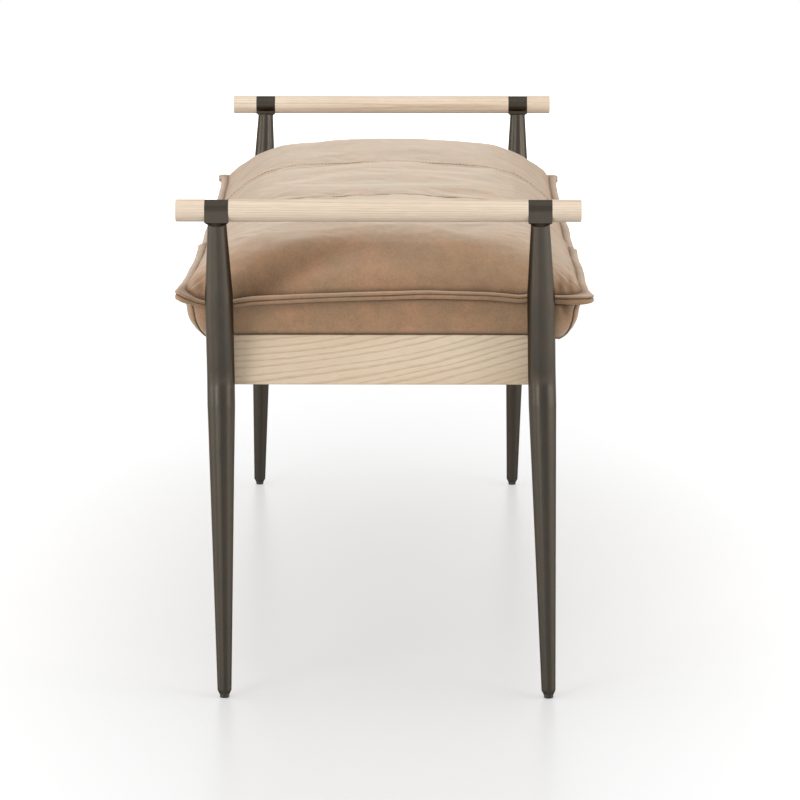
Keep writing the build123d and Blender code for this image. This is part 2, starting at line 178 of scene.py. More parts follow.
@dataclass(frozen=True)
class Nubuck(Finish):
    """Nubuck: cow leather sanded on its grain side, so it is matt with a short pale nap.

    The nap lights up where the eye runs along the surface; painted shade darkens folds, grooves and
    seams.
    Dye and wear leave cloudy warm and grey patches, and the fine grain is drawn at 1.6 mm,
    coarser than the real 0.5 mm.
    """

    warm: str = "#AE8565"
    middle: str = "#9E7F61"
    cool: str = "#8A7058"
    # Colour of the painted shade in folds, grooves and seams
    shade_and_seams: str = "#4A3526"
    nap: str = "#E5E0D3"
    nap_share: float = 0.7
    cloud_size: float = 55.0
    patch_size: float = 16.0
    grain_size: float = 1.6
    grain_depth: float = 0.16

    def nodes(self, tree: Tree) -> Socket:
        """Clouds, patches and grain on object coordinates, with painted shade in folds, grooves and
        seams.
        """
        place = add_node(tree, PLACE).outputs["Object"]
        clouds = add_node(
            tree, NOISE,
            inputs={
                "Vector": place, "Scale": per_metre(self.cloud_size), "Detail": 5.0,
                "Roughness": 0.62, "Distortion": 0.8,
            }
        )
        patches = add_node(
            tree, NOISE,
            inputs={
                "Vector": place, "Scale": per_metre(self.patch_size), "Detail": 6.0,
                "Roughness": 0.7,
            }
        )
        grain = add_node(
            tree, VORONOI, {"feature": "SMOOTH_F1"},
            {"Vector": place, "Scale": per_metre(self.grain_size), "Smoothness": 0.6}
        )
        fine = add_node(
            tree, NOISE,
            inputs={
                "Vector": place, "Scale": per_metre(self.grain_size * 1.6), "Detail": 4.0,
                "Roughness": 0.75,
            }
        )
        warm_share = add_node(tree, RANGE, inputs={0: clouds, 1: 0.4, 2: 0.64})
        cool_share = add_node(tree, RANGE, inputs={0: patches, 1: 0.42, 2: 0.72, 4: 0.6})
        colour = add_node(
            tree, MIX, COLOURS, {0: warm_share, 6: linear(self.middle), 7: linear(self.warm)}
        )
        colour = add_node(
            tree, MIX, COLOURS, {0: cool_share, 6: colour.outputs[2], 7: linear(self.cool)}
        )
        speckle = add_node(tree, RANGE, inputs={0: fine, 1: 0.3, 2: 0.7, 3: 0.86, 4: 1.12})
        colour = add_node(tree, VECTOR_MATH, SCALED, {0: colour.outputs[2], 3: speckle})
        # Painted shade: a point attribute darkens folds, grooves, dents, the edges under the lips
        # and the seams
        shade_and_seams = add_node(tree, "ShaderNodeAttribute", {"attribute_name": "shade_and_seams"})
        colour = add_node(
            tree, MIX, COLOURS, {0: shade_and_seams.outputs["Fac"], 6: colour, 7: linear(self.shade_and_seams)}
        )
        height = add_node(tree, MATH, TIMES_PLUS, {0: fine, 1: 1.4, 2: grain})
        bump = add_node(
            tree, BUMP,
            inputs={"Strength": 0.5, "Distance": self.grain_depth * MM, "Height": height}
        )
        roughness = add_node(tree, RANGE, inputs={0: patches, 1: 0.3, 2: 0.7, 3: 0.8, 4: 0.95})
        # Painted shade also takes the sheen away, so the shaded places stay dark brown
        nap = add_node(
            tree, RANGE, inputs={0: shade_and_seams.outputs["Fac"], 2: 0.6, 3: self.nap_share, 4: 0.0}
        )
        return add_node(
            tree, PRINCIPLED,
            inputs={
                "Base Color": colour.outputs[2], "Roughness": roughness, "Specular IOR Level": 0.25,
                "Sheen Weight": nap, "Sheen Roughness": 0.55, "Sheen Tint": linear(self.nap),
                "Normal": bump,
            }
        ).outputs[0]


@dataclass(frozen=True)
class Ash(Finish):
    """White ash, planed and oiled: cream wood whose rings start with a line of open pores.

    Rings are cylinders round a pith some way off, so a board's face shows slanting lines and
    its end shows arcs. The curve, in 1/m, times the square of the distance along is added to
    the distance from the pith. Pores are drawn 0.8 mm wide, coarser than the real 0.3 mm.
    """

    run: Run = Run.CROSSWAYS
    pale: str = "#E1CEB6"
    late: str = "#D6C0A3"
    early: str = "#C4A98A"
    ring: float = 5.2
    pith: Point = (70.0, 0.0, 160.0)
    tilt: Point = (-0.115, 0.0, 0.05)
    waver: float = 5.0
    bend: float = 16.0
    curve: float = 0.0
    uneven_years: float = 0.9
    pore_width: float = 0.8
    pore_length: float = 22.0

    def nodes(self, tree: Tree) -> Socket:
        """Rings from the distance to the pith's line, and pores drawn out along the grain."""
        place = add_node(tree, PLACE).outputs["Object"]
        along = add_node(tree, MAPPING, inputs={"Vector": place, "Rotation": self.run.value})
        tilted = add_node(
            tree, MAPPING,
            inputs={"Vector": along, "Location": [p * MM for p in self.pith], "Rotation": self.tilt}
        )
        slow = add_node(tree, MAPPING, inputs={"Vector": tilted, "Scale": (1.0, 0.22, 1.0)})
        waver = add_node(
            tree, NOISE, inputs={"Vector": slow, "Scale": per_metre(38.0), "Detail": 2.0}
        )
        flat = add_node(tree, VECTOR_MATH, TIMES, {0: tilted, 1: (1.0, 0.0, 1.0)})
        distance = add_node(tree, VECTOR_MATH, LENGTH, {0: flat})
        sweep_of_grain = add_node(
            tree, NOISE, inputs={"Vector": slow, "Scale": per_metre(120.0), "Detail": 0.0}
        )
        # The trunk's own curve lets the grain run out faster towards one end of the board
        apart = add_node(tree, SPLIT, inputs={0: along})
        square = add_node(tree, MATH, TIMES, {0: apart.outputs["Y"], 1: apart.outputs["Y"]})
        wandering = distance.outputs["Value"]
        strays = ((waver, self.waver * MM), (sweep_of_grain, self.bend * MM), (square, self.curve))
        for stray, reach in strays:
            wandering = add_node(tree, MATH, TIMES_PLUS, {0: stray, 1: reach, 2: wandering})
        turns = add_node(tree, MATH, TIMES, {0: wandering, 1: per_metre(self.ring)})
        # Wet and dry years make wide and narrow rings
        years = add_node(
            tree, NOISE, {"noise_dimensions": "1D"}, {"W": turns, "Scale": 0.55, "Detail": 1.0}
        )
        turns = add_node(tree, MATH, TIMES_PLUS, {0: years, 1: self.uneven_years, 2: turns})
        share = add_node(tree, MATH, {"operation": "FRACT"}, {0: turns})
        rise = add_node(tree, RANGE, SMOOTH, {0: share, 2: 0.12})
        fall = add_node(tree, RANGE, SMOOTH, {0: share, 1: 0.14, 2: 0.48, 3: 1.0, 4: 0.0})
        pore_line = add_node(tree, MATH, TIMES, {0: rise, 1: fall})
        pore = (per_metre(self.pore_width), per_metre(self.pore_length), per_metre(self.pore_width))
        stretched = add_node(tree, MAPPING, inputs={"Vector": tilted, "Scale": pore})
        pores = add_node(
            tree, NOISE, inputs={"Vector": stretched, "Scale": 1.0, "Detail": 3.0, "Roughness": 0.6}
        )
        strength = add_node(tree, RANGE, inputs={0: pores, 1: 0.3, 2: 0.66, 3: 0.35})
        dark = add_node(tree, MATH, TIMES, {0: pore_line, 1: strength})
        board = add_node(
            tree, NOISE, inputs={"Vector": slow, "Scale": per_metre(60.0), "Detail": 3.0}
        )
        cloud = add_node(tree, RANGE, inputs={0: board, 1: 0.35, 2: 0.68})
        colour = add_node(
            tree, MIX, COLOURS, {0: cloud, 6: linear(self.pale), 7: linear(self.late)}
        )
        fleck = add_node(tree, RANGE, inputs={0: pores, 1: 0.35, 2: 0.75, 3: 1.04, 4: 0.9})
        colour = add_node(tree, VECTOR_MATH, SCALED, {0: colour.outputs[2], 3: fleck})
        colour = add_node(tree, MIX, COLOURS, {0: dark, 6: colour, 7: linear(self.early)})
        bump = add_node(
            tree, BUMP, {"invert": True}, {"Strength": 0.35, "Distance": 0.12 * MM, "Height": dark}
        )
        roughness = add_node(tree, RANGE, inputs={0: dark, 3: 0.5, 4: 0.68})
        return add_node(
            tree, PRINCIPLED,
            inputs={
                "Base Color": colour.outputs[2], "Roughness": roughness, "IOR": 1.48,
                "Normal": bump,
            }
        ).outputs[0]


@dataclass(frozen=True)
class ForgedSteel(Finish):
    """Hot-forged steel with a waxed bronze patina: dark, softly shiny and faintly clouded.

    The patina drifts between warm brown, green-grey and red-brown. The hammer's planishing is
    24 mm wide and very shallow, and the scale's grain is drawn at 1.2 mm to show. Below the
    bend the colour is painted darker, a painted shade for the dark room that the lower leg
    mirrors. The edge tint dulls the glancing reflections, as wax over oxide does.
    """

    brown: str = "#504941"
    green: str = "#4B4841"
    red: str = "#52473F"
    edge: str = "#D2CCC5"
    grain_size: float = 1.2
    # Share of the colour kept below the bend, as painted shade
    lower: float = 0.78

    def nodes(self, tree: Tree) -> Socket:
        """Two clouds of tint, a fine grain in colour and gloss, and a shallow uneven surface."""
        place = add_node(tree, PLACE).outputs["Object"]
        drawn = add_node(tree, MAPPING, inputs={"Vector": place, "Scale": (1.0, 1.0, 0.45)})
        tint = add_node(
            tree, NOISE,
            inputs={"Vector": drawn, "Scale": per_metre(14.0), "Detail": 4.0, "Roughness": 0.6}
        )
        rust = add_node(
            tree, NOISE, {"noise_dimensions": "4D"},
            {"Vector": drawn, "W": 3.0, "Scale": per_metre(10.0), "Detail": 5.0, "Roughness": 0.65}
        )
        grain = add_node(
            tree, NOISE,
            inputs={
                "Vector": place, "Scale": per_metre(self.grain_size), "Detail": 3.0,
                "Roughness": 0.6,
            }
        )
        green = add_node(tree, RANGE, inputs={0: tint, 1: 0.4, 2: 0.62})
        red = add_node(tree, RANGE, inputs={0: rust, 1: 0.52, 2: 0.7, 4: 0.8})
        colour = add_node(
            tree, MIX, COLOURS, {0: green, 6: linear(self.brown), 7: linear(self.green)}
        )
        colour = add_node(tree, MIX, COLOURS, {0: red, 6: colour.outputs[2], 7: linear(self.red)})
        speckle = add_node(tree, RANGE, inputs={0: grain, 1: 0.3, 2: 0.7, 3: 0.95, 4: 1.05})
        # Painted shade: the colour darkens from 0.4 m down to 0.33 m, below the bend
        height = add_node(tree, SPLIT, inputs={0: place})
        painted_low_shade = add_node(
            tree, RANGE, inputs={0: height.outputs["Z"], 1: 0.33, 2: 0.4, 3: self.lower}
        )
        shade = add_node(tree, MATH, TIMES, {0: speckle, 1: painted_low_shade})
        colour = add_node(tree, VECTOR_MATH, SCALED, {0: colour.outputs[2], 3: shade})
        roughness = add_node(tree, RANGE, inputs={0: tint, 1: 0.3, 2: 0.7, 3: 0.29, 4: 0.34})
        planished = add_node(
            tree, NOISE, inputs={"Vector": drawn, "Scale": per_metre(24.0), "Detail": 1.0}
        )
        broad = add_node(
            tree, BUMP, inputs={"Strength": 0.15, "Distance": 0.4 * MM, "Height": planished}
        )
        bump = add_node(
            tree, BUMP,
            inputs={"Strength": 0.25, "Distance": 0.06 * MM, "Height": grain, "Normal": broad}
        )
        return add_node(
            tree, PRINCIPLED,
            inputs={
                "Base Color": colour, "Metallic": 1.0, "Roughness": roughness,
                "Specular Tint": linear(self.edge), "Normal": bump,
            }
        ).outputs[0]


@dataclass(frozen=True)
class Plain(Finish):
    """A small part's finish: two tones clouded together, with a fine surface.

    It serves moulded nylon, zinc plate, brass and thread, which show up only close to.
    """

    light: str = "#2A2A2A"
    dark: str = "#1C1C1C"
    metallic: float = 0.0
    roughness: float = 0.5
    cloud_size: float = 6.0
    grain_size: float = 0.8
    grain_depth: float = 0.04

    def nodes(self, tree: Tree) -> Socket:
        """One cloud for the colour and one fine noise for roughness and relief."""
        place = add_node(tree, PLACE).outputs["Object"]
        cloud = add_node(
            tree, NOISE,
            inputs={"Vector": place, "Scale": per_metre(self.cloud_size), "Detail": 3.0}
        )
        fine = add_node(
            tree, NOISE,
            inputs={"Vector": place, "Scale": per_metre(self.grain_size), "Detail": 2.0}
        )
        share = add_node(tree, RANGE, inputs={0: cloud, 1: 0.35, 2: 0.65})
        colour = add_node(
            tree, MIX, COLOURS, {0: share, 6: linear(self.light), 7: linear(self.dark)}
        )
        roughness = add_node(
            tree, RANGE,
            inputs={0: fine, 1: 0.3, 2: 0.7, 3: self.roughness - 0.06, 4: self.roughness + 0.06}
        )
        bump = add_node(
            tree, BUMP, inputs={"Strength": 0.5, "Distance": self.grain_depth * MM, "Height": fine}
        )
        return add_node(
            tree, PRINCIPLED,
            inputs={
                "Base Color": colour.outputs[2], "Metallic": self.metallic, "Roughness": roughness,
                "Normal": bump,
            }
        ).outputs[0]


@dataclass(frozen=True)
class Woven(Finish):
    """Plain-woven cloth: threads over and under at a steady spacing, a little uneven."""

    thread: str = "#3A332C"
    gap: str = "#1E1A16"
    spacing: float = 1.4

    def nodes(self, tree: Tree) -> Socket:
        """Two sets of waves across each other, on object coordinates."""
        place = add_node(tree, PLACE).outputs["Object"]
        # A wave texture repeats twenty times over 2 pi of its coordinate
        scale = per_metre(self.spacing) * math.pi / 10
        warp, weft = (
            add_node(
                tree,
                "ShaderNodeTexWave",
                settings={"wave_type": "BANDS", "bands_direction": way},
                inputs={"Vector": place, "Scale": scale, "Distortion": 0.4, "Detail": 1.0},
            )
            for way in ("X", "Y")
        )
        over = add_node(tree, MATH, TIMES, {0: warp.outputs["Fac"], 1: weft.outputs["Fac"]})
        # Painted shade: the gap colour darkens the low places between the threads
        colour = add_node(
            tree, MIX, COLOURS, {0: over, 6: linear(self.gap), 7: linear(self.thread)}
        )
        bump = add_node(tree, BUMP, inputs={"Strength": 0.6, "Distance": 0.2 * MM, "Height": over})
        return add_node(
            tree, PRINCIPLED,
            inputs={
                "Base Color": colour.outputs[2], "Roughness": 0.9, "Sheen Weight": 0.2,
                "Normal": bump,
            }
        ).outputs[0]


@dataclass(frozen=True)
class Foam(Finish):
    """Open-cell polyurethane foam: cut cells drawn at 2 mm, cream and quite matt."""

    cell: float = 2.0

    def nodes(self, tree: Tree) -> Socket:
        """Cells from a Voronoi pattern, deep in their middles, where painted shade darkens the
        colour.
        """
        place = add_node(tree, PLACE).outputs["Object"]
        cells = add_node(tree, VORONOI, inputs={"Vector": place, "Scale": per_metre(self.cell)})
        share = add_node(tree, RANGE, inputs={0: cells, 1: 0.1, 2: 0.6})
        colour = add_node(
            tree, MIX, COLOURS, {0: share, 6: linear("#B9A97F"), 7: linear("#E9DFBE")}
        )
        bump = add_node(tree, BUMP, inputs={"Strength": 0.7, "Distance": 0.5 * MM, "Height": share})
        return add_node(
            tree, PRINCIPLED,
            inputs={"Base Color": colour.outputs[2], "Roughness": 0.95, "Normal": bump}
        ).outputs[0]


@dataclass(frozen=True)
class StudioFloor(Finish):
    """Pale polished studio floor, white to the camera far off and grey under the bench, from its
    real shadow and a painted one.

    It takes the object's shadow and a faint reflection. The camera also sees a glow that makes
    up the white, which no other surface receives.
    """

    glow: float = 0.67
    shade: float = 0.37
    paint: str = "#BDBDBD"

    def nodes(self, tree: Tree) -> Socket:
        """Matt paint plus a glow, seen by the camera and in gloss, that is weaker near the bench as
        painted shadow.
        """
        place = add_node(tree, PLACE).outputs["Object"]
        near = add_node(
            tree, MAPPING, {"vector_type": "TEXTURE"},
            {"Vector": place, "Location": (0.4, 0.0, 0.0), "Scale": (3.6, 1.0, 1.0)}
        )
        reach = add_node(tree, VECTOR_MATH, LENGTH, {0: near})
        # Painted shadow: the glow is weaker in an ellipse round the bench
        shade = add_node(
            tree, RANGE, SMOOTH, {0: reach.outputs["Value"], 2: 1.15, 3: self.shade, 4: 0.0}
        )
        glow = add_node(tree, MATH, {"operation": "SUBTRACT"}, {0: self.glow, 1: shade})
        distance = add_node(tree, VECTOR_MATH, LENGTH, {0: place})
        far = add_node(tree, RANGE, SMOOTH, {0: distance.outputs["Value"], 1: 2.2, 2: 5.0, 4: 0.6})
        glow = add_node(tree, MATH, {"operation": "ADD"}, {0: glow, 1: far})
        path = add_node(tree, "ShaderNodeLightPath")
        mirrored = add_node(
            tree, MATH, LARGER, {0: path.outputs["Is Camera Ray"], 1: path.outputs["Is Glossy Ray"]}
        )
        seen = add_node(tree, MATH, TIMES, {0: glow, 1: mirrored})
        return add_node(
            tree, PRINCIPLED,
            inputs={
                "Base Color": linear(self.paint), "Roughness": 0.32, "Specular IOR Level": 0.35,
                "Emission Color": (1.0, 1.0, 1.0, 1.0), "Emission Strength": seen,
            }
        ).outputs[0]


# Meshes


def grid_faces(rows: int, columns: int, wrap_rows: bool, wrap_columns: bool) -> Grid:
    """Corner numbers of the quads of a grid of points, row by row.

    Args:
        rows: Rows of points.
        columns: Columns of points.
        wrap_rows: Whether the last row joins the first.
        wrap_columns: Whether the last column joins the first.
    Returns:
        An array of quads.
    """
    row = np.arange(rows if wrap_rows else rows - 1)[:, None]
    column = np.arange(columns if wrap_columns else columns - 1)[None, :]
    next_row, next_column = (row + 1) % rows, (column + 1) % columns
    corners = [
        row * columns + column,
        row * columns + next_column,
        next_row * columns + next_column,
        next_row * columns + column,
    ]
    return np.stack([np.broadcast_to(c, (row.size, column.size)).ravel() for c in corners], axis=1)


def surface(
    name: str,
    points: Grid,
    wrap_rows: bool = False,
    wrap_columns: bool = False,
    caps: bool = False,
    shade_and_seams: Grid | None = None,
) -> Piece:
    """Makes an object from a grid of points in millimetres.

    Args:
        name: Name of the piece.
        points: Array of rows, columns and three coordinates.
        wrap_rows: Whether the grid closes on itself over its rows.
        wrap_columns: Whether it closes over its columns.
        caps: Whether the first and last rows are closed with a face.
        shade_and_seams: Share of painted shade and darker seams at each point, for the leather.
    Returns:
        The object, at the origin, with smooth faces.
    """
    rows, columns = points.shape[:2]
    faces = grid_faces(rows, columns, wrap_rows, wrap_columns).tolist()
    if caps:
        faces.append(list(range(columns))[::-1])
        faces.append(list(range((rows - 1) * columns, rows * columns)))
    mesh = bpy.data.meshes.new(name)
    mesh.from_pydata((points.reshape(-1, 3) * MM).tolist(), [], faces)
    mesh.update()
    mesh.polygons.foreach_set("use_smooth", np.ones(len(mesh.polygons), bool))
    if shade_and_seams is not None:
        shares = mesh.attributes.new("shade_and_seams", "FLOAT", "POINT")
        shares.data.foreach_set("value", held(shade_and_seams).astype(np.float32).ravel())
    return put_in_scene(name, mesh)


def put_in_scene(name: str, data: bpy.types.ID) -> Piece:
    """Makes an object of a mesh, a lamp or a camera and links it to the scene."""
    made = bpy.data.objects.new(name, data)
    bpy.context.scene.collection.objects.link(made)
    return made


def thicken(piece: Piece, name: str, thickness: float) -> None:
    """Gives a sheet its thickness in millimetres, inwards, by a modifier of this name."""
    wall = piece.modifiers.new(name, "SOLIDIFY")
    wall.thickness = thickness * MM
    wall.offset = -1.0


def unit(vectors: Grid) -> Grid:
    """Vectors along the last axis, each brought to length 1."""
    return vectors / np.maximum(np.linalg.norm(vectors, axis=-1, keepdims=True), 1e-9)


def normals_of(points: Grid) -> Grid:
    """Unit normals of a grid of points: the cross product of its column and row directions."""
    return unit(np.cross(np.gradient(points, axis=1), np.gradient(points, axis=0)))


def sweep(path: Grid, outward: Grid, up: Grid, section: Grid) -> Grid:
    """Carries a section along a path: each point is path + outward * section x + up * section y.

    Args:
        path: Points of the path.
        outward: Unit vectors out from the path at each point.
        up: Unit vectors up from the path at each point.
        section: Points of the section, the same all along or one set at each path point.
    Returns:
        Grid of points, one row for each path point.
    """
    if section.ndim == 2:
        section = np.broadcast_to(section, (len(path), *section.shape))
    return path[:, None] + outward[:, None] * section[..., :1] + up[:, None] * section[..., 1:]


def bow(value: Grid, half: float) -> Grid:
    """Parabola: 1 in the middle and 0 at a half width to both sides."""
    return 1 - np.clip(value / half, -1, 1) ** 2


def held(value: Grid) -> Grid:
    """Values kept between 0 and 1."""
    return np.clip(value, 0, 1)


def bell(value: Grid, centre: float, width: float) -> Grid:
    """Smooth bump of height 1: e to the minus of the squared distance in widths."""
    return np.exp(-(((value - centre) / width) ** 2))


def bells(value: Grid, table: Bells) -> Grid:
    """Sum of smooth bumps, each given by its centre, its width and its height."""
    return sum(height * bell(value, centre, width) for centre, width, height in table)


def ramp(value: Grid, middle: float, width: float, height: float | Grid = 1.0) -> Grid:
    """Smooth step from 0 up to a height: height / (1 + e to the minus (value - middle) / width)."""
    return height / (1 + np.exp(-(value - middle) / width))


def ripples(place: Grid, wavelengths: tuple[float, float], count: int, seed: int) -> Grid:
    """Gentle unevenness: the mean of sine waves of chosen lengths in random directions.

    Args:
        place: Array whose last axis is a place in millimetres.
        wavelengths: Shortest and longest wave.
        count: How many waves.
        seed: Seed of the directions and phases.
    Returns:
        Values from about -1 to 1, one for each place.
    """
    rng = np.random.default_rng(seed)
    total = np.zeros(place.shape[:-1])
    for _ in range(count):
        direction = rng.normal(size=place.shape[-1])
        direction /= np.linalg.norm(direction)
        length = rng.uniform(*wavelengths)
        total += np.sin(place @ direction * (2 * math.pi / length) + rng.uniform(0, 2 * math.pi))
    return total / math.sqrt(count)


def smooth_curve(value: Grid, stations: Sequence[float], heights: Sequence[float]) -> Grid:
    """Smooth curve through stations: a cubic between each two, with slopes that don't overshoot.

    Args:
        value: Where to read the curve. Beyond its ends it stays level.
        stations: Rising places of the stations.
        heights: The curve's height at each.
    Returns:
        Heights at the values.
    """
    xs, ys = np.array(stations, float), np.array(heights, float)
    steps = np.diff(ys) / np.diff(xs)
    before, after = steps[:-1], steps[1:]
    together = before * after > 0
    inner = np.where(together, 2 * before * after / np.where(together, before + after, 1), 0)
    slopes = np.concatenate([[steps[0]], inner, [steps[-1]]])
    value = np.clip(value, xs[0], xs[-1])
    i = np.clip(np.searchsorted(xs, value, side="right") - 1, 0, len(xs) - 2)
    width = xs[i + 1] - xs[i]
    t = (value - xs[i]) / width
    return (
        (1 + 2 * t) * (1 - t) ** 2 * ys[i]
        + t * (1 - t) ** 2 * width * slopes[i]
        + t * t * (3 - 2 * t) * ys[i + 1]
        - t * t * (1 - t) * width * slopes[i + 1]
    )


def settle(piece: Piece, body: Body, finish: Skin, slot: str, *nodes: str) -> Piece:
    """Gives a new piece its finish, its body and the CAD nodes it stands for."""
    piece.data.materials.clear()
    piece.data.materials.append(finish)
    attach(piece, body.value)
    if nodes:
        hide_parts(*nodes)
    stands_for = ", ".join(nodes) or "itself"
    LOG.info("%s rides on %s and stands for %s", piece.name, body.value, stands_for)
    return piece


def dress(nodes: dict[str, Piece], names: Sequence[str], finish: Skin) -> None:
    """Gives CAD nodes a finish in place of their plain one."""
    for name in names:
        nodes[name].data.materials.clear()
        nodes[name].data.materials.append(finish)
        LOG.info("%s keeps its shape in %s", name, finish.name)


# Sub-assemblies


@dataclass
class EndFrames:
    """The forged legs with their heads and glides, and the ash handles."""

    steel: Finish = ForgedSteel("forged_steel_waxed_patina")
    handle: Finish = Ash(
        "ash_turned_oiled", pale="#E7D6C3", late="#DCC8B0", early="#C9B092", ring=2.1,
        pith=(-590.0, 0.0, -440.0), tilt=(0.006, 0.0, 0.004), waver=1.6, bend=3.0
    )
    nylon: Finish = Plain("nylon_moulded_black", light="#262626", dark="#191919", roughness=0.42)
    zinc: Finish = Plain(
        "steel_zinc_plated", light="#C3C4C0", dark="#A2A49F", metallic=1.0, roughness=0.35
    )

    def build(self, nodes: dict[str, Piece]) -> None:
        """Dresses the legs, handles, glides and their fasteners."""
        corners = [f"{side}_{end}" for side in ("front", "back") for end in ("left", "right")]
        dress(nodes, [f"leg_{corner}" for corner in corners], self.steel.material())
        rods = ["handle_rod_left", "handle_rod_right"]
        dress(nodes, [f"handle_end_{corner}" for corner in corners] + rods, self.handle.material())
        dress(nodes, [f"glide_{corner}" for corner in corners], self.nylon.material())
        dress(nodes, ["handle_studs", "leg_studs", "leg_washers", "leg_nuts"], self.zinc.material())


@dataclass
class Apron:
    """The ash rails, and the deck with its cleats, braces and screws."""

    end_rail: Finish = Ash(
        "ash_planed_crossways", pale="#E1CEB4", late="#D8C2A5", early="#C6AA89", ring=5.4,
        waver=7.0, bend=12.0, curve=-0.26
    )
    side_rail: Finish = Ash("ash_planed_lengthways", run=Run.LENGTHWAYS)
    cleat: Finish = Ash(
        "pine_sawn", run=Run.LENGTHWAYS, pale="#E2C698", late="#D2AE78", early="#B98A52", ring=3.5
    )
    ply: Finish = Ash(
        "birch_plywood_sanded", run=Run.LENGTHWAYS, pale="#DDC39B", late="#CDAF84", early="#B79769",
        ring=14.0, waver=14.0, bend=30.0
    )
    zinc: Finish = Plain(
        "screws_zinc_plated", light="#C9BE93", dark="#A89C70", metallic=1.0, roughness=0.38
    )

    def build(self, nodes: dict[str, Piece]) -> None:
        """Dresses every piece of the apron."""
        dress(nodes, ["end_rail_left", "end_rail_right"], self.end_rail.material())
        dress(nodes, ["side_rail_front", "side_rail_back"], self.side_rail.material())
        cleats = ["end_cleat_left", "end_cleat_right", "side_cleat_front", "side_cleat_back"]
        dress(nodes, cleats + ["brace_left", "brace_right"], self.cleat.material())
        dress(nodes, ["seat_deck"], self.ply.material())
        dress(nodes, ["deck_screws", "brace_screws", "cleat_screws"], self.zinc.material())


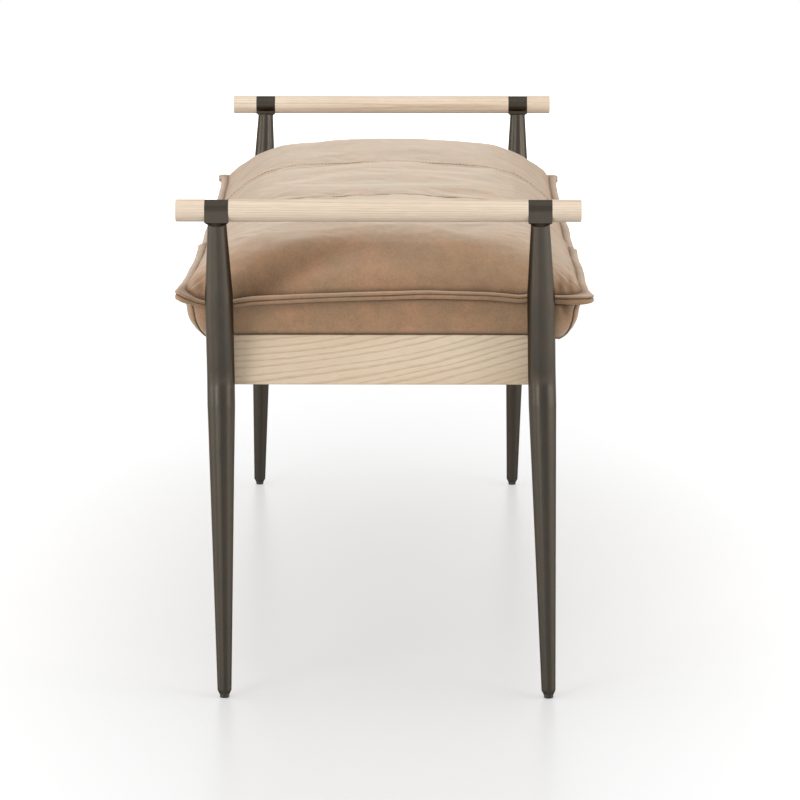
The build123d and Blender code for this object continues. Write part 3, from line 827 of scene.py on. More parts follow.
@dataclass
class Cushion:
    """The loose cushion: domed crown of three panels, two lips all round and a rounded boxing.

    It lies a little askew on the deck, as in the photograph, and its near lip sags beside the legs.
    Fields in pairs, places and what stands there, are stations of smooth curves. Fields called
    bells give a centre, a width and a height for each bump, over y, and over x for the far
    fullness. A corner's field of two numbers has the left or far one first and the right or near
    one second. The end's straightening has the corners' first and then what the middle adds.
    """

    half_length: float = 590.0
    half_width: float = 240.0
    end_draw_in: float = 13.0
    side_draw_in: float = 8.0
    bottom: float = 410.8
    lip_bottom: float = 453.0
    lip_top: float = 463.0
    lip_width: float = 10.0
    lip_radius: float = 16.0
    crown_rise: float = 66.0
    crown_radius: float = 30.0
    crown_side_inset: float = 190.0
    crown_end_inset: float = 130.0
    boxing_undercut: float = 26.0
    seam: float = 183.5
    zip_line: float = 144.0
    zip_half: float = 451.0
    leather: float = 1.5
    leather_stiffness: float = 1.0
    fullness: float = 0.010
    air: float = 1.0
    settle_cap: float = 1.8
    shift: float = 1.8
    skew: float = 0.0061
    rise_shares: Stations = (0.0, 0.20, 0.42, 0.64, 0.80, 0.91, 0.97, 1.0)
    inset_shares: Stations = (0.0, 0.045, 0.125, 0.225, 0.335, 0.55, 0.80, 1.0)
    drop_shares: Stations = (0.0, 0.20, 0.55, 0.80, 0.93, 1.0)
    undercut_shares: Stations = (0.06, 0.20, 0.34, 0.55, 0.78, 1.0)
    near_places: Stations = (
        -236, -224, -212, -198, -184, -150, -128, -100, -77, -40, 5,
        30, 48, 80, 113, 140, 154, 166, 180, 196, 218, 236,
    )
    near_heights: Stations = (
        2.0, -3.0, -7.7, -10.2, -10.0, -6.4, -5.6, -4.7, -3.8, -2.6, -1.4,
        -0.5, -0.1, -0.8, -1.6, -3.5, -4.6, -3.2, -3.2, -4.8, -4.4, -4.0,
    )
    far_lip_bells: Bells = (
        (-20, 130, 1.5), (176, 30, -3.0), (-180, 28, -2.0), (-240, 14, 2.2), (240, 14, 1.5),
    )
    tight_bells: Bells = ((-202, 34, 2.2),)
    ear_bells: Bells = ((-236, 13, 3.4), (222, 26, 1.6))
    dent_bells: Bells = ((201, 4.0, 1.0), (214, 4.0, 1.0), (-211, 4.5, 0.8), (-203, 3.5, 0.6))
    dents_from: float = 500.0
    groove_places: Stations = (-240, -190, -110, 0, 60, 180, 240)
    groove_shifts: Stations = (-0.4, -0.4, 0.6, 1.2, 1.8, 2.2, 2.4)
    left_joint: float = 170.0
    left_places: Stations = (
        -590, -568, -545, -480, -100, 20, 110, 150, 230, 300, 400, 500, 540, 575, 590,
    )
    left_steps: Stations = (
        6.0, 5.0, 0.9, 0.2, 0.4, 1.4, 0.2, -1.0, -1.9, -2.0, -1.3, -1.2, 0.3, 1.0, 1.1,
    )
    right_joint: float = 205.0
    right_places: Stations = (
        -590, -568, -545, -480, -120, -10, 80, 200, 300, 400, 500, 540, 575, 590,
    )
    right_steps: Stations = (
        4.0, 3.4, 0.7, 0.2, 1.2, 2.4, 1.0, -0.5, -1.8, -2.0, -5.3, -5.5, -1.5, -0.2,
    )
    fold_places: Stations = (-160, -147, -134, -121, -107, -93, -61, -24, 80)
    fold_line: Stations = (579, 574, 569, 563, 558, 553, 542, 535, 530)
    fold_width_places: Stations = (-160, -30, 60)
    fold_widths: Stations = (12, 17, 22)
    fold_share_places: Stations = (-184, -156, -120, -80, -30, 40, 120)
    fold_shares: Stations = (0, 1.0, 1.08, 0.95, 0.55, 0.25, 0)
    fold_depth: float = 11.0
    fold_ridge: float = 1.1
    far_fullness_bells: Bells = ((-390, 150, 2.2),)
    soft_depth: float = 0.7
    valley_depth: float = 2.4
    gather_depth: float = 0.15
    seam_depth: float = 0.35
    fan_depth: float = 0.4
    dent_depth: float = 1.7
    lip_gather_depth: float = 0.8
    corner_hang: tuple[float, float] = (6.5, 6.8)
    corner_fullness: tuple[float, float] = (4.0, 7.5)
    corner_swelling: tuple[float, float] = (0.28, 0.08)
    lip_power: float = 2.5
    lip_places: int = 28
    lip_waves: tuple[int, ...] = (17, 29, 41, 67, 97)
    boxing_rows: int = 30
    boxing_overlap: float = 1.5
    bulge_depth: float = 0.8
    boxing_gather_depth: float = 0.5
    ear_fold_bells: Bells = ((204.5, 3.4, -4.2),)
    ear_ridge_bells: Bells = ((197, 5.0, 1.4),)
    end_straightening: tuple[float, float] = (13.0, 12.0)
    end_curl: float = 6.0
    stitch_pitch: float = 4.5
    stitch_inset: float = 3.2
    stitch_reach: float = 214.0
    corner_seam_radius: float = 1.15
    corner_seam_tuck: float = 2.0
    seam_tuck: float = 0.28
    # Painted shade along the crown's cross seams
    painted_seam_shade: float = 0.04
    crown_rows: int = 181
    corner_places: int = 17
    end_places: int = 95
    side_places: int = 199
    settle_frames: int = 16
    smoothing_rounds: int = 150
    broad_share: float = 0.9
    nubuck: Finish = Nubuck("nubuck_sanded_tan")
    thread: Finish = Plain(
        "thread_waxed_polyester", light="#A98670", dark="#8E6B55", roughness=0.7, cloud_size=3.0,
        grain_size=0.6
    )
    foam: Finish = Foam("polyurethane_foam_cut")
    lining: Finish = Woven("lining_cloth_woven")
    tape: Finish = Woven("zip_tape_woven", thread="#4A3A2C", gap="#241B13", spacing=0.9)
    brass: Finish = Plain(
        "brass_antique", light="#8C7340", dark="#5E4B28", metallic=1.0, roughness=0.4
    )

    # Outlines

    def pillow(self, points: Grid) -> Grid:
        """Draws the middles of the sides in, by a parabola between the corners.

        Args:
            points: Places in a straight-sided plan, x and y last.
        Returns:
            The places in the real plan, in which the corners stand out.
        """
        x, y = points[..., 0], points[..., 1]
        end_bow = self.end_draw_in * bow(y, self.half_width)
        side_bow = self.side_draw_in * bow(x, self.half_length)
        drawn_x = x - np.sign(x) * end_bow * np.abs(x / self.half_length) ** 3
        drawn_y = y - np.sign(y) * side_bow * np.abs(y / self.half_width) ** 3
        return np.stack([drawn_x, drawn_y], axis=-1)

    def outline(self, inset: Grid | float, radius: float) -> tuple[Grid, Grid]:
        """Plan outlines of straight runs and quarter circles, with the same numbers of points.

        Args:
            inset: Distances in from the lips' edge, one for each outline wanted.
            radius: Corner radius.
        Returns:
            Points as outlines by places along by x and y, and the unit outward directions.
        """
        inset = np.atleast_1d(inset)[:, None]
        a, b = self.half_length - inset, self.half_width - inset
        turn = np.linspace(0, math.pi / 2, self.corner_places)[None, :]
        run_end = np.linspace(-1, 1, self.end_places + 2)[None, 1:-1]
        run_side = np.linspace(-1, 1, self.side_places + 2)[None, 1:-1]
        runs, ways = [], []
        for quarter in range(4):
            angle = turn + quarter * math.pi / 2
            sign_x = (1, -1, -1, 1)[quarter]
            sign_y = (1, 1, -1, -1)[quarter]
            centre = np.stack([sign_x * (a - radius), sign_y * (b - radius)], axis=-1)
            way = np.stack([np.cos(angle), np.sin(angle)], axis=-1)
            runs.append(centre + radius * way)
            ways.append(np.broadcast_to(way, runs[-1].shape))
            along, half = (run_side, a - radius) if quarter % 2 == 0 else (run_end, b - radius)
            way_x, way_y = ((0.0, 1.0), (-1.0, 0.0), (0.0, -1.0), (1.0, 0.0))[quarter]
            reach = b if quarter % 2 == 0 else a
            x, y = way_x * reach - way_y * along * half, way_y * reach + way_x * along * half
            runs.append(np.stack([x, y], axis=-1))
            ways.append(np.broadcast_to((way_x, way_y), runs[-1].shape))
        return self.pillow(np.concatenate(runs, axis=1)), np.concatenate(ways, axis=1)

    def sag(self, x: Grid, y: Grid) -> Grid:
        """How far the lips stand above their level line at a place on their outline.

        The near lip rises in its middle and dips beside both legs, by a smooth curve across it,
        and the long lips waver a little.
        """
        near, far = ramp(x, 545, 10), ramp(x, -540, -12)
        near_lip = smooth_curve(y, self.near_places, self.near_heights)
        far_lip = bells(y, self.far_lip_bells)
        waver = 1.1 * np.sin(x / 97 + np.sign(y)) * np.sin(x / 41 + 2 * np.sign(y))
        return near * near_lip + far * far_lip + (1 - near) * (1 - far) * waver

    def thinning(self, x: Grid, y: Grid) -> Grid:
        """How much thinner the upper lip is at the near front corner, where it is pulled tight."""
        return ramp(x, 550, 8, bells(y, self.tight_bells))

    def ear_fullness(self, x: Grid, y: Grid) -> Grid:
        """How much further down the lower lip bulges at the near corners."""
        return ramp(x, 562, 6, bells(y, self.ear_bells))

    def groove_shift(self, x: Grid, y: Grid) -> Grid:
        """How far the groove between the lips stands above its level line, at the near end."""
        return ramp(x, 530, 12, smooth_curve(y, self.groove_places, self.groove_shifts))

    def past_corner(self, x: Grid, y: Grid, reach: float) -> tuple[Grid, Grid]:
        """How far a place is past two lines that run this far in from the lips' edges."""
        return np.abs(x) - self.half_length + reach, np.abs(y) - self.half_width + reach

    def at_seams(self, x: Grid, width: float) -> Grid:
        """Bells of height 1 at the two cross seams."""
        return bells(x, ((-self.seam, width, 1.0), (self.seam, width, 1.0)))

    def placed(self, points: Grid) -> Grid:
        """Lays the cushion askew and bends its long sides in and out.

        Every y gets a shift that grows with x. Each long side follows a smooth curve, with ears
        at its corners and a step outwards at the joint of its lips that dies away exponentially.
        All of it fades to the middle with the cube of the distance from it.
        """
        x, y = points[..., 0], points[..., 1]

        def step_out(joint: float, height: float) -> Grid:
            """Step at a joint that dies away towards the near end."""
            return ramp(x, joint, 1.6, height) * np.exp(-np.clip(x - joint, 0, None) / 110)

        step = np.where(
            y < 0,
            smooth_curve(x, self.left_places, self.left_steps) + step_out(self.left_joint, 4.6),
            smooth_curve(x, self.right_places, self.right_steps) + step_out(self.right_joint, 3.4),
        )
        outwards = np.sign(y) * step * np.abs(y / self.half_width) ** 3
        moved = points.copy()
        moved[..., 1] += self.shift + self.skew * x + outwards
        return moved

    # Crown

    def crown_share(self, x: Grid, y: Grid) -> Grid:
        """How far in from the lips a place is, from 0 at the lips to 1 where the top flattens.

        The outline drawn in by a share s has half sizes less s times the insets, and a corner
        radius that grows with s. The share whose outline passes through the place is found by
        halving the range 40 times.
        """
        plan_x = np.abs(x) + self.end_draw_in * bow(y, self.half_width)
        plan_y = np.abs(y) + self.side_draw_in * bow(x, self.half_length)
        low, high = np.full(x.shape, -0.2), np.full(x.shape, 1.0)
        for _ in range(40):
            share = (low + high) / 2
            a = self.half_length - self.lip_width - share * self.crown_end_inset
            b = self.half_width - self.lip_width - share * self.crown_side_inset
            radius = self.crown_radius + share * self.crown_side_inset
            radius = np.minimum(radius, 0.8 * (b - self.side_draw_in))
            beyond_x, beyond_y = plan_x - a + radius, plan_y - b + radius
            outside = np.hypot(np.maximum(beyond_x, 0), np.maximum(beyond_y, 0))
            inside = np.minimum(np.maximum(beyond_x, beyond_y), 0)
            too_far_in = outside + inside - radius > 0
            high = np.where(too_far_in, share, high)
            low = np.where(too_far_in, low, share)
        return (low + high) / 2

    def crown_height(self, share: Grid) -> Grid:
        """Height above the lips at a share, by a smooth curve through the crown's stations."""
        return self.crown_rise * smooth_curve(share, self.inset_shares, self.rise_shares)

    def crown_plan(self, columns: Grid, rows: int) -> Grid:
        """Plan places of the crown's grid, closer together near the lips.

        A square grid is spread over the plan and its corner squares are bent to quarter circles:
        each place keeps its direction from the circle's centre, and its larger coordinate becomes
        its distance.

        Args:
            columns: Shares of the half length, from -1 to 1.
            rows: Number of rows across.
        Returns:
            Array of rows, columns, x and y.
        """
        across = np.linspace(-1, 1, rows)
        across = np.sign(across) * (1 - (1 - np.abs(across)) ** 1.45)
        a, b = self.half_length - self.lip_width, self.half_width - self.lip_width
        x, y = np.meshgrid(columns * a, across * b)
        qx = np.maximum((np.abs(x) - a + self.crown_radius) / self.crown_radius, 0)
        qy = np.maximum((np.abs(y) - b + self.crown_radius) / self.crown_radius, 0)
        shrink = np.maximum(qx, qy) / np.maximum(np.hypot(qx, qy), 1e-9)
        in_corner = (qx > 0) & (qy > 0)
        new_x = np.sign(x) * (a - self.crown_radius + self.crown_radius * qx * shrink)
        new_y = np.sign(y) * (b - self.crown_radius + self.crown_radius * qy * shrink)
        x, y = np.where(in_corner, new_x, x), np.where(in_corner, new_y, y)
        return self.pillow(np.stack([x, y], axis=-1))

    def crown_points(self, plan: Grid, shrink: float = 0.0) -> tuple[Grid, Grid]:
        """Places on the leather of the crown over plan places.

        The surface moves along its normal by soft waves, valleys beside the seams and at the far
        end, gathers along the seams, puckers fanning from the corners, dents and gathers above
        the lips, and one fold across the near slope. Distances are from the lips, in millimetres.

        Args:
            plan: Array of x and y.
            shrink: How far below the leather's outside the surface lies.
        Returns:
            Points and their painted shade.
        """
        x, y = plan[..., 0], plan[..., 1]
        share = self.crown_share(x, y)
        edge_move = self.sag(x, y) - self.thinning(x, y)
        z = self.lip_top + self.crown_height(share) + edge_move * held(1 - share / 0.45) ** 2
        points = np.stack([x, y, z], axis=-1)
        normal = normals_of(points)
        edge = np.clip(share, 0, None) * self.crown_side_inset
        top = held(share / 0.6)
        soft = ripples(plan, (70, 190), 9, 3) * self.soft_depth * held(edge / 30)
        fullness = bells(x, self.far_fullness_bells) * top
        valleys = self.valley_depth * self.at_seams(x, 62.0) * top - fullness
        gathers = ripples(plan * (0.2, 1.0), (9, 17), 8, 5) * self.gather_depth
        seams = self.seam_depth * self.at_seams(x, 5.0)
        to_corner = np.hypot(*self.past_corner(x, y, 26))
        past_x, past_y = self.past_corner(x, y, 60)
        angle = np.arctan2(past_y, past_x)
        fans = np.sin(angle * 23 + 1.7 * np.sign(x) + 0.9 * np.sign(y))
        fans = fans + 0.6 * np.sin(angle * 37 + 0.4)
        puckers = fans * self.fan_depth * bell(to_corner, 0, 22) * held(edge / 5)
        dents = bells(y, self.dent_bells)
        at_near_end = x > self.dents_from
        puckers = puckers - self.dent_depth * dents * bell(edge, 8, 6.5) * at_near_end
        lip_gathers = self.lip_gather_depth * ripples(plan, (17, 34), 10, 11)
        lip_gathers = lip_gathers * bell(edge, 0, 11) * held(edge / 3)
        fold_width = smooth_curve(y, self.fold_width_places, self.fold_widths)
        from_fold = (x - smooth_curve(y, self.fold_places, self.fold_line)) / fold_width
        fold_share = smooth_curve(y, self.fold_share_places, self.fold_shares)
        ridge = self.fold_ridge * bell(from_fold, -2.0, 1.2)
        fold = ridge - self.fold_depth * bell(from_fold, 0, 1.0)
        offset = soft - valleys - seams + gathers * self.at_seams(x, 16.0) + puckers
        offset = offset + lip_gathers + fold_share * fold - shrink
        points = points + normal * offset[..., None]
        # Painted shade in the groove where the crown meets the lips
        shade_and_seams = 0.5 * bell(edge, 0, 2.2)
        # Painted shade: darker in the fold across the near slope, above the near lip and in the
        # dents
        shade_and_seams = shade_and_seams + 0.30 * fold_share * bell(from_fold, -0.3, 0.9)
        shade_and_seams = shade_and_seams + ramp(x, 530, 12, 0.12 * bell(edge, 0, 16))
        shade_and_seams = shade_and_seams + 0.35 * dents * bell(edge, 5, 5.0) * at_near_end
        return self.placed(points), shade_and_seams

    def relax(self, name: str, points: Grid, ease: Grid) -> Grid:
        """Lets a panel of leather settle as cloth that is a little larger than its outline.

        Its edges are pinned where they are sewn, and air presses from below, so it swells and
        puckers along its seams. The crown's shape already has the broad swelling, so most of the
        move's own broad part, found by averaging neighbours over and over, is taken off. The rest
        d of each point's move is capped as cap * tanh(|d| / cap).

        Args:
            name: Name of the panel.
            points: Grid of points in millimetres.
            ease: Share of the move that each point keeps.
        Returns:
            The settled grid.
        """
        sheet = surface(f"settling_{name}", points)
        rows, columns = points.shape[:2]
        numbers = np.arange(rows * columns).reshape(rows, columns)
        sewn = np.concatenate([numbers[0], numbers[-1], numbers[1:-1, 0], numbers[1:-1, -1]])
        pins = sheet.vertex_groups.new(name="sewn")
        pins.add(sewn.tolist(), 1.0, "REPLACE")
        cloth = sheet.modifiers.new("settle", "CLOTH")
        leather = cloth.settings
        leather.quality = 5
        leather.mass = 0.35
        leather.tension_stiffness = leather.compression_stiffness = 20.0
        leather.shear_stiffness = 10.0
        leather.bending_stiffness = self.leather_stiffness
        leather.use_pressure = True
        leather.uniform_pressure_force = self.air
        leather.effector_weights.gravity = 0.0
        leather.vertex_group_mass = "sewn"
        leather.shrink_min = leather.shrink_max = -self.fullness
        cloth.collision_settings.use_collision = False
        for frame in range(1, self.settle_frames + 1):
            bpy.context.scene.frame_set(frame)
        settled = sheet.evaluated_get(bpy.context.evaluated_depsgraph_get())
        places = np.empty(rows * columns * 3, np.float32)
        settled.data.vertices.foreach_get("co", places)
        bpy.context.scene.frame_set(1)
        bpy.data.objects.remove(sheet)
        move = places.reshape(points.shape).astype(float) / MM - points
        LOG.info("%s settled by up to %.1f mm", name, float(np.linalg.norm(move, axis=-1).max()))
        broad = move.copy()
        for _ in range(self.smoothing_rounds):
            around = broad[:-2, 1:-1] + broad[2:, 1:-1] + broad[1:-1, :-2] + broad[1:-1, 2:]
            broad[1:-1, 1:-1] = around / 4
        move = (move - self.broad_share * broad) * ease[..., None]
        length = np.maximum(np.linalg.norm(move, axis=-1, keepdims=True), 1e-9)
        LOG.info("%s keeps folds of up to %.1f mm", name, float(length.max()))
        return points + move / length * self.settle_cap * np.tanh(length / self.settle_cap)

    def crown_panel(self, name: str, start: float, stop: float, columns: int, finish: Skin) -> None:
        """Makes one panel of the crown, with its cut edges turned down into the seams."""
        places = np.linspace(start, stop, columns)
        if start == -1:
            places = -1 + (places + 1) * (0.55 + 0.45 * (places + 1) / (stop + 1))
        if stop == 1:
            places = 1 - (1 - places) * (0.55 + 0.45 * (1 - places) / (1 - start))
        plan = self.crown_plan(places, self.crown_rows)
        points, shade_and_seams = self.crown_points(plan)
        share = self.crown_share(plan[..., 0], plan[..., 1])
        points = self.relax(name, points, 0.2 + 0.4 * held(share / 0.5))
        for column, end in ((0, start), (-1, stop)):
            if abs(end) < 1:
                points[:, column, 2] -= self.seam_tuck
                # Painted shade in the cross seams' grooves
                shade_and_seams[:, column] = self.painted_seam_shade
        piece = surface(f"crown_leather_{name}", points, shade_and_seams=shade_and_seams)
        thicken(piece, "hide", self.leather)
        settle(piece, Body.CUSHION, finish, "nubuck_leather", f"crown_panel_{name}")
        LOG.info("%s is %d by %d points", piece.name, *points.shape[:2])

    # Lips

    def lip(
        self, name: str, level: float, thick: float, facing: float, node: str, seed: int,
        finish: Skin,
    ) -> None:
        """Makes one rolled lip: a flattened round section carried round between two outlines.

        The section is a superellipse, x to the power 2.5 plus y to the power 2.5. Its inner edge
        follows the crown's rounder corners and its outer edge the lips' own. Its middle line
        wavers, and it is nicked where the strip's ends are joined.

        Args:
            name: Name of the piece.
            level: Height of the lip's underside.
            thick: Thickness of the lip.
            facing: Up, 1, or down, -1, to the groove between the lips, where shade is painted.
            node: The CAD node that it stands for.
            seed: Seed of the unevenness.
            finish: The leather's material.
        """
        outer = self.outline(0.0, self.lip_radius)[0][0]
        inner = self.outline(self.lip_width + 1.0, self.crown_radius)[0][0]
        x, y = outer[:, 0], outer[:, 1]
        travel = np.concatenate([[0], np.cumsum(np.linalg.norm(np.diff(outer, axis=0), axis=1))])
        total = travel[-1] + np.linalg.norm(outer[0] - outer[-1])
        rng = np.random.default_rng(seed)
        uneven = sum(
            np.sin(2 * math.pi * travel / total * waves + rng.uniform(0, 7)) / math.sqrt(waves)
            for waves in self.lip_waves
        )
        joint = np.where(y < 0, self.left_joint, self.right_joint)
        joins = bell(x, joint, 2.4)
        past_x, past_y = self.past_corner(x, y, 8)
        corner = np.exp(-((past_x**2 + past_y**2) / 17**2))
        angle = np.linspace(0, 2 * math.pi, self.lip_places, endpoint=False)
        circle = (np.cos(angle), np.sin(angle))
        wide, tall = (np.sign(side) * np.abs(side) ** (2 / self.lip_power) for side in circle)
        out = unit(outer - inner)
        middle = (outer + inner) / 2 + out * (0.5 * uneven - 1.0 * joins)[:, None]
        plan = middle[:, None] + (outer - inner)[:, None] * wide[None, :, None] / 2
        place = plan[..., 0], plan[..., 1]
        shift = self.groove_shift(*place)
        if facing > 0:
            fuller = self.ear_fullness(*place)
            thickness, shift = thick + 0.5 * shift + fuller, 0.5 * shift - fuller
        else:
            thickness = thick - shift - self.thinning(*place)
        swelling = np.take(self.corner_swelling, x > 0) * corner
        fatter = 1 + 0.06 * uneven - 0.2 * joins + swelling
        centre = level + shift + thickness / 2 + self.sag(*place) + 0.25 * uneven[:, None]
        z = centre + thickness / 2 * fatter[:, None] * tall[None]
        points = self.placed(np.concatenate([plan, z[..., None]], axis=-1))
        # Painted shade: darker in the groove between the rolls, against the crown, on the upper
        # roll's top and the lower roll's underside, more at the near end, and in the nick at the
        # joint
        groove = 1.6 * np.clip(facing * tall - 0.45, 0, 0.55)
        near = 0.3 + ramp(x, 560, 8, 0.7)
        painted_lip_shade = 0.06 + 0.28 * held(0.5 - wide) * held(-facing * tall)
        shade_and_seams = 0.8 * held(-wide) ** 8 + groove + near[:, None] * painted_lip_shade
        shade_and_seams = (shade_and_seams + 0.6 * bell(x, joint, 3.0)[:, None])[:, ::-1]
        piece = surface(name, points[:, ::-1], wrap_rows=True, wrap_columns=True, shade_and_seams=shade_and_seams)
        settle(piece, Body.CUSHION, finish, "nubuck_leather", node)

    # Boxing

    def boxing_points(self, shrink: float = 0.0) -> tuple[Grid, Grid]:
        """Places on the boxing round the whole cushion, from under the lips to the bottom.

        Each level is an outline inset by the lip's width and a share of the undercut.
        """
        drop = np.linspace(0, 1, self.boxing_rows)
        share = smooth_curve(drop, self.drop_shares, self.undercut_shares)
        inset = self.lip_width + share * self.boxing_undercut + shrink
        plan, out = self.outline(inset, self.crown_radius)
        x, y = plan[..., 0], plan[..., 1]
        drop = np.broadcast_to(drop[:, None], x.shape)
        sag = self.sag(x, y) * (1 - drop) ** 1.5
        corner = held((np.abs(y) - 179) / 14)
        hang = np.take(self.corner_hang, y > 0) * corner**2 * (3 - 2 * corner) * drop**4
        top = self.lip_bottom + self.boxing_overlap
        z = top - drop * (top - self.bottom - shrink) + sag - hang
        bulge = self.bulge_depth * ripples(np.stack([x, y, z * 2], axis=-1), (60, 150), 9, 21)
        bulge = bulge * np.sin(math.pi * drop) ** 0.6
        at_right = x > self.half_length - 60
        fold = bells(y, self.ear_fold_bells) * bell(drop, 0, 0.42) * at_right
        fold = fold + bells(y, self.ear_ridge_bells) * bell(drop, 0, 0.45) * at_right
        to_corner = np.hypot(*self.past_corner(x, y, 36))
        gathers = ripples(plan, (8, 15), 9, 31) * self.boxing_gather_depth * bell(drop, 0, 0.25)
        gathers = gathers * (0.25 + bell(to_corner, 0, 45))
        # The corners stay round and full, and the ends hang straight over the rails' faces
        full = np.take(self.corner_fullness, x > 0) * bell(to_corner, 0, 34)
        at_end = np.abs(out[..., 0]) ** 4
        at_corners, more_between = self.end_straightening
        straight = (at_corners + more_between * bow(y, self.half_width)) * drop**3 * at_end
        curl = self.end_curl * held((drop - 0.86) / 0.14) ** 2 * at_end
        curl = curl * held((196 - np.abs(y)) / 14)
        push = bulge + fold + gathers + full * held(drop / 0.08) + straight - curl
        points = np.concatenate([plan + out * push[..., None], z[..., None]], axis=-1)
        # Painted shade: darker just under the lips, along the bottom edge over the rails and in the
        # fold at the near end's ear
        shade_and_seams = 0.85 * bell(drop, 0, 0.07) + 0.6 * bell(1 - drop, 0, 0.07)
        shade_and_seams = shade_and_seams + 0.6 * bell(y, 204, 3.6) * bell(drop, 0, 0.4) * at_right
        return self.placed(points), shade_and_seams

    def boxing(self, finish: Skin) -> None:
        """Cuts the boxing into four strips at its corners' middles and turns their edges in."""
        points, shade_and_seams = self.boxing_points()
        count = points.shape[1]
        lengths = [self.corner_places + run for run in (self.side_places, self.end_places) * 2]
        corner = (self.corner_places // 2 + np.cumsum([0, *lengths])).tolist()
        middle = np.array([0.0, 0.0, (self.lip_bottom + self.bottom) / 2])
        for name, start, stop in zip(("back", "left", "front", "right"), corner, corner[1:]):
            places = np.arange(start, stop + 1) % count
            strip, dark = points[:, places].copy(), shade_and_seams[:, places].copy()
            for column in (0, -1):
                inward = unit((middle - strip[:, column]) * (1, 1, 0))
                strip[:, column] += inward * self.corner_seam_tuck
                # Painted shade in the corner seams, darker on the back corners than on the front
                # ones
                dark[:, column] = np.where(strip[:, column, 1] > 0, 0.9, 0.5)
            piece = surface(f"boxing_leather_{name}", strip[:, ::-1], shade_and_seams=dark[:, ::-1])
            thicken(piece, "hide", self.leather)
            settle(piece, Body.CUSHION, finish, "nubuck_leather", f"boxing_{name}")
        for number, place in enumerate(corner[:-1], start=1):
            self.seam_roll(f"corner_seam_{number}", points[:, place], finish)

    def seam_roll(self, name: str, path: Grid, finish: Skin) -> None:
        """Makes the raised roll of a sewn seam: a circle carried along the seam's line."""
        out = unit(path * (1, 1, 0))
        ahead = unit(np.gradient(path, axis=0))
        across = unit(np.cross(ahead, out))
        angle = np.linspace(0, 2 * math.pi, 12, endpoint=False)
        section = self.corner_seam_radius * np.stack([np.cos(angle), np.sin(angle)], axis=1)
        points = sweep(path + out * 0.2, np.cross(across, ahead), across, section)
        shade_and_seams = np.full(points.shape[:2], 0.12)
        piece = surface(name, points, wrap_columns=True, caps=True, shade_and_seams=shade_and_seams)
        settle(piece, Body.CUSHION, finish, "nubuck_leather")

    # Sewing, filling and bottom

    def stitches(
        self, name: str, line: Grid, normal: Grid, finish: Skin,
        size: Point = (1.7, 0.5, 0.5), slot: str = "nubuck_leather",
    ) -> None:
        """Makes a row of thread stitches or zip teeth, each an ellipsoid lying along the line.

        Args:
            name: Name of the piece.
            line: Middles of the stitches.
            normal: Unit directions out of the leather there.
            finish: The thread's material.
            size: Half sizes along the line, across it and out of the leather.
            slot: Name of a material slot; not used.
        """
        ahead = unit(np.gradient(line, axis=0))
        across = np.cross(normal, ahead)
        turn = np.linspace(0, 2 * math.pi, 6, endpoint=False)
        rise = np.linspace(-math.pi / 2, math.pi / 2, 5)
        ring = np.cos(rise)[:, None, None] * np.stack([np.cos(turn), np.sin(turn)], axis=1)[None]
        shape = (
            ahead[:, None, None] * (size[0] * np.sin(rise))[None, :, None, None]
            + across[:, None, None] * (size[1] * ring[..., 0])[None, ..., None]
            + normal[:, None, None] * (size[2] * ring[..., 1])[None, ..., None]
        )
        points = line[:, None, None] + shape
        each = grid_faces(5, 6, False, True)
        faces = (each[None] + 30 * np.arange(len(line))[:, None, None]).reshape(-1, 4)
        mesh = bpy.data.meshes.new(name)
        mesh.from_pydata((points.reshape(-1, 3) * MM).tolist(), [], faces.tolist())
        mesh.validate()
        mesh.polygons.foreach_set("use_smooth", np.ones(len(mesh.polygons), bool))
        settle(put_in_scene(name, mesh), Body.CUSHION, finish, slot)

    def cross_seam_stitches(self, finish: Skin) -> None:
        """Sews a row of stitches beside each cross seam of the crown."""
        row_x = self.seam + self.stitch_inset
        for name, x in (("left", -row_x), ("right", row_x)):
            y = np.arange(-self.stitch_reach, self.stitch_reach + 0.1, self.stitch_pitch)
            ends = x + np.array([-1.0, 0.0, 1.0])
            plan = np.stack(np.meshgrid(ends, y), axis=-1)
            points, _ = self.crown_points(plan)
            normal = normals_of(points)[:, 1]
            self.stitches(f"stitches_{name}", points[:, 1] + normal * 0.2, normal, finish)

    def filling(self, finish: Skin) -> None:
        """Makes the soft domed topper and the firm core, 3 mm inside the leather."""
        plan = self.crown_plan(np.linspace(-1, 1, 121), 61)
        top, _ = self.crown_points(plan * 0.985, shrink=6.5)
        under = top.copy()
        under[..., 2] = self.lip_bottom + 1.0
        shell = np.concatenate([top, under[::-1]], axis=0)
        piece = surface("foam_topper_pad", shell, wrap_rows=True)
        self.close_ends(piece)
        settle(piece, Body.CUSHION, finish, "foam", "foam_topper")
        side, _ = self.boxing_points(shrink=4.0)
        side = side[3:-1]
        side[0, :, 2] = self.lip_bottom - 3.0
        piece = surface("foam_core_pad", side[:, ::-1], wrap_columns=True, caps=True)
        settle(piece, Body.CUSHION, finish, "foam", "foam_core")

    def close_ends(self, piece: Piece) -> None:
        """Closes the open ends of a shell and turns its faces outwards."""
        work = bmesh.new()
        work.from_mesh(piece.data)
        bmesh.ops.holes_fill(work, edges=[e for e in work.edges if e.is_boundary], sides=0)
        bmesh.ops.recalc_face_normals(work, faces=work.faces)
        work.to_mesh(piece.data)
        work.free()

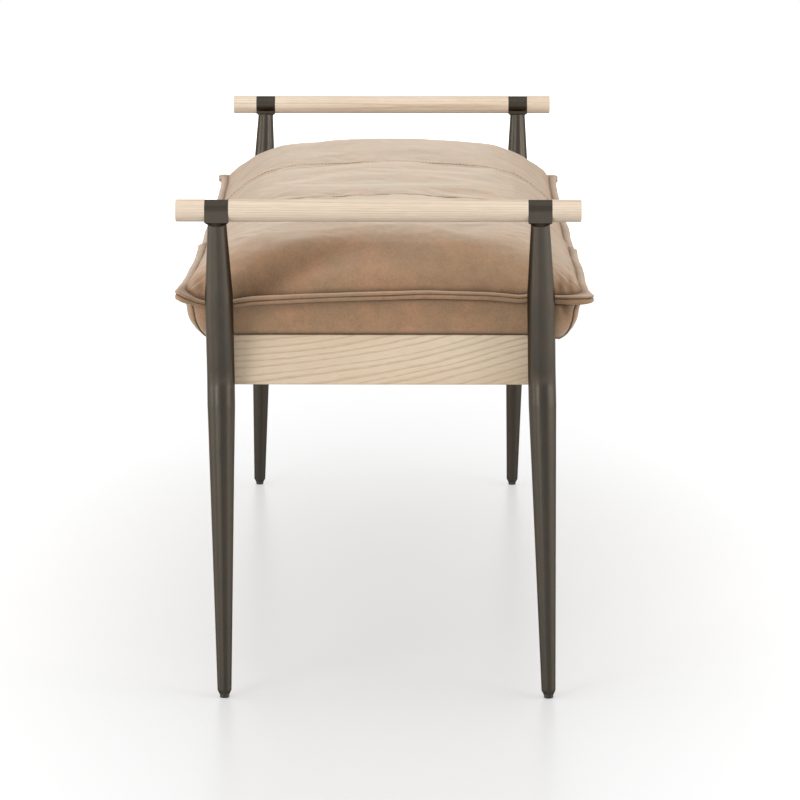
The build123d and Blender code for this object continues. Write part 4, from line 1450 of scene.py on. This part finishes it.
    def bottom_cover(self, finish: Skin) -> None:
        """Makes the lining cloth under the cushion, from the boxing's lower edge to its middle.

        Each row is the edge drawn in by a share t: p = edge (1 - t) + middle t. The cloth lies
        level on the deck, with slack waves under a millimetre high, and sinks in round the zip.
        """
        rim = self.boxing_points()[0][-1] + (0.0, 0.0, 0.6)
        share = np.linspace(0, 1, 48)[:, None] ** 0.9
        line_x = np.clip(rim[:, 0], -370, 370) * 0.96
        x = rim[None, :, 0] * (1 - share) + line_x[None] * share
        y = rim[None, :, 1] * (1 - share)
        slack = 0.45 + 0.4 * ripples(np.stack([x, y], axis=-1), (45, 140), 10, 41)
        zip_bed = bell(y, self.zip_line, 16) * (np.abs(x) < self.zip_half + 6)
        level = self.bottom + 0.5 + np.clip(slack, 0, 1.2) * (1 - zip_bed) + 1.3 * zip_bed
        settle_in = held(share / 0.06)
        z = rim[None, :, 2] * (1 - settle_in) + level * settle_in
        points = np.stack([x, y, z], axis=-1)
        piece = surface("bottom_cover_cloth", points, wrap_columns=True)
        work = bmesh.new()
        work.from_mesh(piece.data)
        bmesh.ops.remove_doubles(work, verts=work.verts, dist=0.00002)
        area = sum(face.calc_area() for face in work.faces)
        work.to_mesh(piece.data)
        work.free()
        settle(piece, Body.CUSHION, finish, "lining_cloth", "bottom_cover")

    def zip_fastener(self, tape: Skin, teeth: Skin) -> None:
        """Makes the zip's tape, hemmed down both edges, and its chain of teeth 2.5 mm apart."""
        x = np.linspace(-self.zip_half, self.zip_half, 240)
        across = np.linspace(-12, 12, 25)
        rib = 0.12 * np.cos(across * math.pi / 1.5) + 0.25 * bell(np.abs(across), 10.5, 0.8)
        grid_x, grid_y = np.meshgrid(x, across + self.zip_line)
        wave = 0.15 * np.sin(grid_x / 23) * np.sin(grid_y / 7)
        points = np.stack([grid_x, grid_y, self.bottom + 0.85 - rib[:, None] + wave], axis=-1)
        piece = surface("zip_tape_cloth", points[::-1])
        thicken(piece, "weave", 0.5)
        settle(piece, Body.CUSHION, tape, "zip_tape", "zip_strip")
        places = np.arange(-self.zip_half + 4, self.zip_half - 14, 2.5)
        sides = places[:, None] * (1, 0, 0) + (0, self.zip_line, self.bottom + 0.42)
        sides[:, 1] += np.where(np.arange(len(places)) % 2 == 0, 0.7, -0.7)
        down = np.broadcast_to([0.0, 0.0, -1.0], sides.shape)
        self.stitches("zip_teeth", sides, down, teeth, size=(0.9, 2.1, 0.36), slot="zip_metal")

    def build(self, nodes: dict[str, Piece]) -> None:
        """Builds the cushion's pieces from the crown down."""
        nubuck = self.nubuck.material()
        thread = self.thread.material()
        seam = self.seam / (self.half_length - self.lip_width)
        self.crown_panel("left", -1, -seam, 150, nubuck)
        self.crown_panel("middle", -seam, seam, 110, nubuck)
        self.crown_panel("right", seam, 1, 190, nubuck)
        middle = (self.lip_bottom + self.lip_top) / 2
        self.lip("lip_roll_upper", middle - 0.4, 5.6, -1.0, "lip_upper", 8, nubuck)
        self.lip("lip_roll_lower", self.lip_bottom + 0.2, 5.2, 1.0, "lip_lower", 15, nubuck)
        self.boxing(nubuck)
        self.cross_seam_stitches(thread)
        self.filling(self.foam.material())
        brass = self.brass.material()
        self.bottom_cover(self.lining.material())
        self.zip_fastener(self.tape.material(), brass)
        dress(nodes, ["zip_slider"], brass)


@dataclass
class Studio:
    """The floor, the lamps, the world and the camera.

    A lamp has a name, a place and a size in metres and a power in watts.
    """

    camera_place: Point = (4895.65, 50.16, 1089.35)
    camera_yaw: float = 0.375
    camera_pitch: float = 9.884
    lens: float = 171.904
    ambient: float = 0.74
    floor: Finish = StudioFloor("studio_floor_polished")
    lamps: tuple[tuple[str, Point, tuple[float, float], float], ...] = (
        ("lamp_over", (0.2, -0.2, 3.0), (3.4, 2.6), 10.5),
        ("lamp_left", (3.5, -2.4, 1.5), (1.5, 1.7), 48.0),
        ("lamp_right", (2.3, 3.3, 1.5), (1.3, 1.7), 32.0),
        ("lamp_side_left", (0.6, -3.6, 0.9), (2.6, 1.0), 38.0),
        ("lamp_side_right", (0.4, 3.6, 0.9), (2.6, 1.0), 32.0),
    )

    def lamp(self, name: str, place: Point, size: tuple[float, float], power: float) -> None:
        """Hangs a soft box at a place in metres, facing the bench."""
        light = bpy.data.lights.new(name, "AREA")
        light.shape = "RECTANGLE"
        light.size, light.size_y = size
        light.energy = power
        holder = put_in_scene(name, light)
        holder.location = place
        holder.rotation_mode = "QUATERNION"
        towards = Vector((0.1, 0.0, 0.35)) - Vector(place)
        holder.rotation_quaternion = towards.to_track_quat("-Z", "Y")

    def world(self) -> None:
        """White to the camera and at the horizon in gloss, and a dimmer even light elsewhere."""
        world = bpy.data.worlds.new("studio")
        world.use_nodes = True
        tree = world.node_tree
        tree.nodes.clear()
        path = add_node(tree, "ShaderNodeLightPath")
        seen = add_node(
            tree, MATH, LARGER,
            {0: path.outputs["Is Camera Ray"], 1: path.outputs["Is Transmission Ray"]}
        )
        # Metal mirrors a white horizon with the dimmer room above it
        way = add_node(tree, PLACE)
        height = add_node(tree, SPLIT, inputs={0: way.outputs["Generated"]})
        horizon = add_node(tree, RANGE, inputs={0: height.outputs["Z"], 2: 0.1, 3: 1.0, 4: 0.0})
        mirrored = add_node(tree, MATH, TIMES, {0: horizon, 1: path.outputs["Is Glossy Ray"]})
        seen = add_node(tree, MATH, LARGER, {0: seen, 1: mirrored})
        strength = add_node(tree, RANGE, inputs={0: seen, 3: self.ambient})
        sky = add_node(
            tree, "ShaderNodeBackground",
            inputs={"Color": (1.0, 1.0, 1.0, 1.0), "Strength": strength}
        )
        add_node(tree, "ShaderNodeOutputWorld", inputs={"Surface": sky})
        bpy.context.scene.world = world

    def build(self) -> None:
        """Lays the floor, hangs the lamps and sets the camera up."""
        corners = [[(x, y, 0.0) for x in (-9000.0, 9000.0)] for y in (-7000.0, 7000.0)]
        floor = surface("studio_floor", np.array(corners))
        floor.data.materials.append(self.floor.material())
        for name, place, size, power in self.lamps:
            self.lamp(name, place, size, power)
        self.world()
        yaw, pitch = math.radians(self.camera_yaw), math.radians(self.camera_pitch)
        level = math.cos(pitch)
        forward = Vector((-math.cos(yaw) * level, -math.sin(yaw) * level, -math.sin(pitch)))
        data = bpy.data.cameras.new("camera")
        data.lens = self.lens
        data.sensor_width = 36.0
        data.clip_end = 100.0
        camera = put_in_scene("camera", data)
        camera.location = Vector(self.camera_place) * MM
        camera.rotation_mode = "QUATERNION"
        camera.rotation_quaternion = forward.to_track_quat("-Z", "Y")
        bpy.context.scene.camera = camera
        bpy.context.scene.view_settings.view_transform = "Standard"


def main() -> None:
    """Loads the frame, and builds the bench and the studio."""
    logging.basicConfig(level=logging.INFO, format="%(name)s: %(message)s")
    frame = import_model()
    nodes = frame["nodes"]
    Studio().build()
    EndFrames().build(nodes)
    Apron().build(nodes)
    Cushion().build(nodes)
    bpy.context.view_layer.update()


if __name__ == "__main__":
    main()
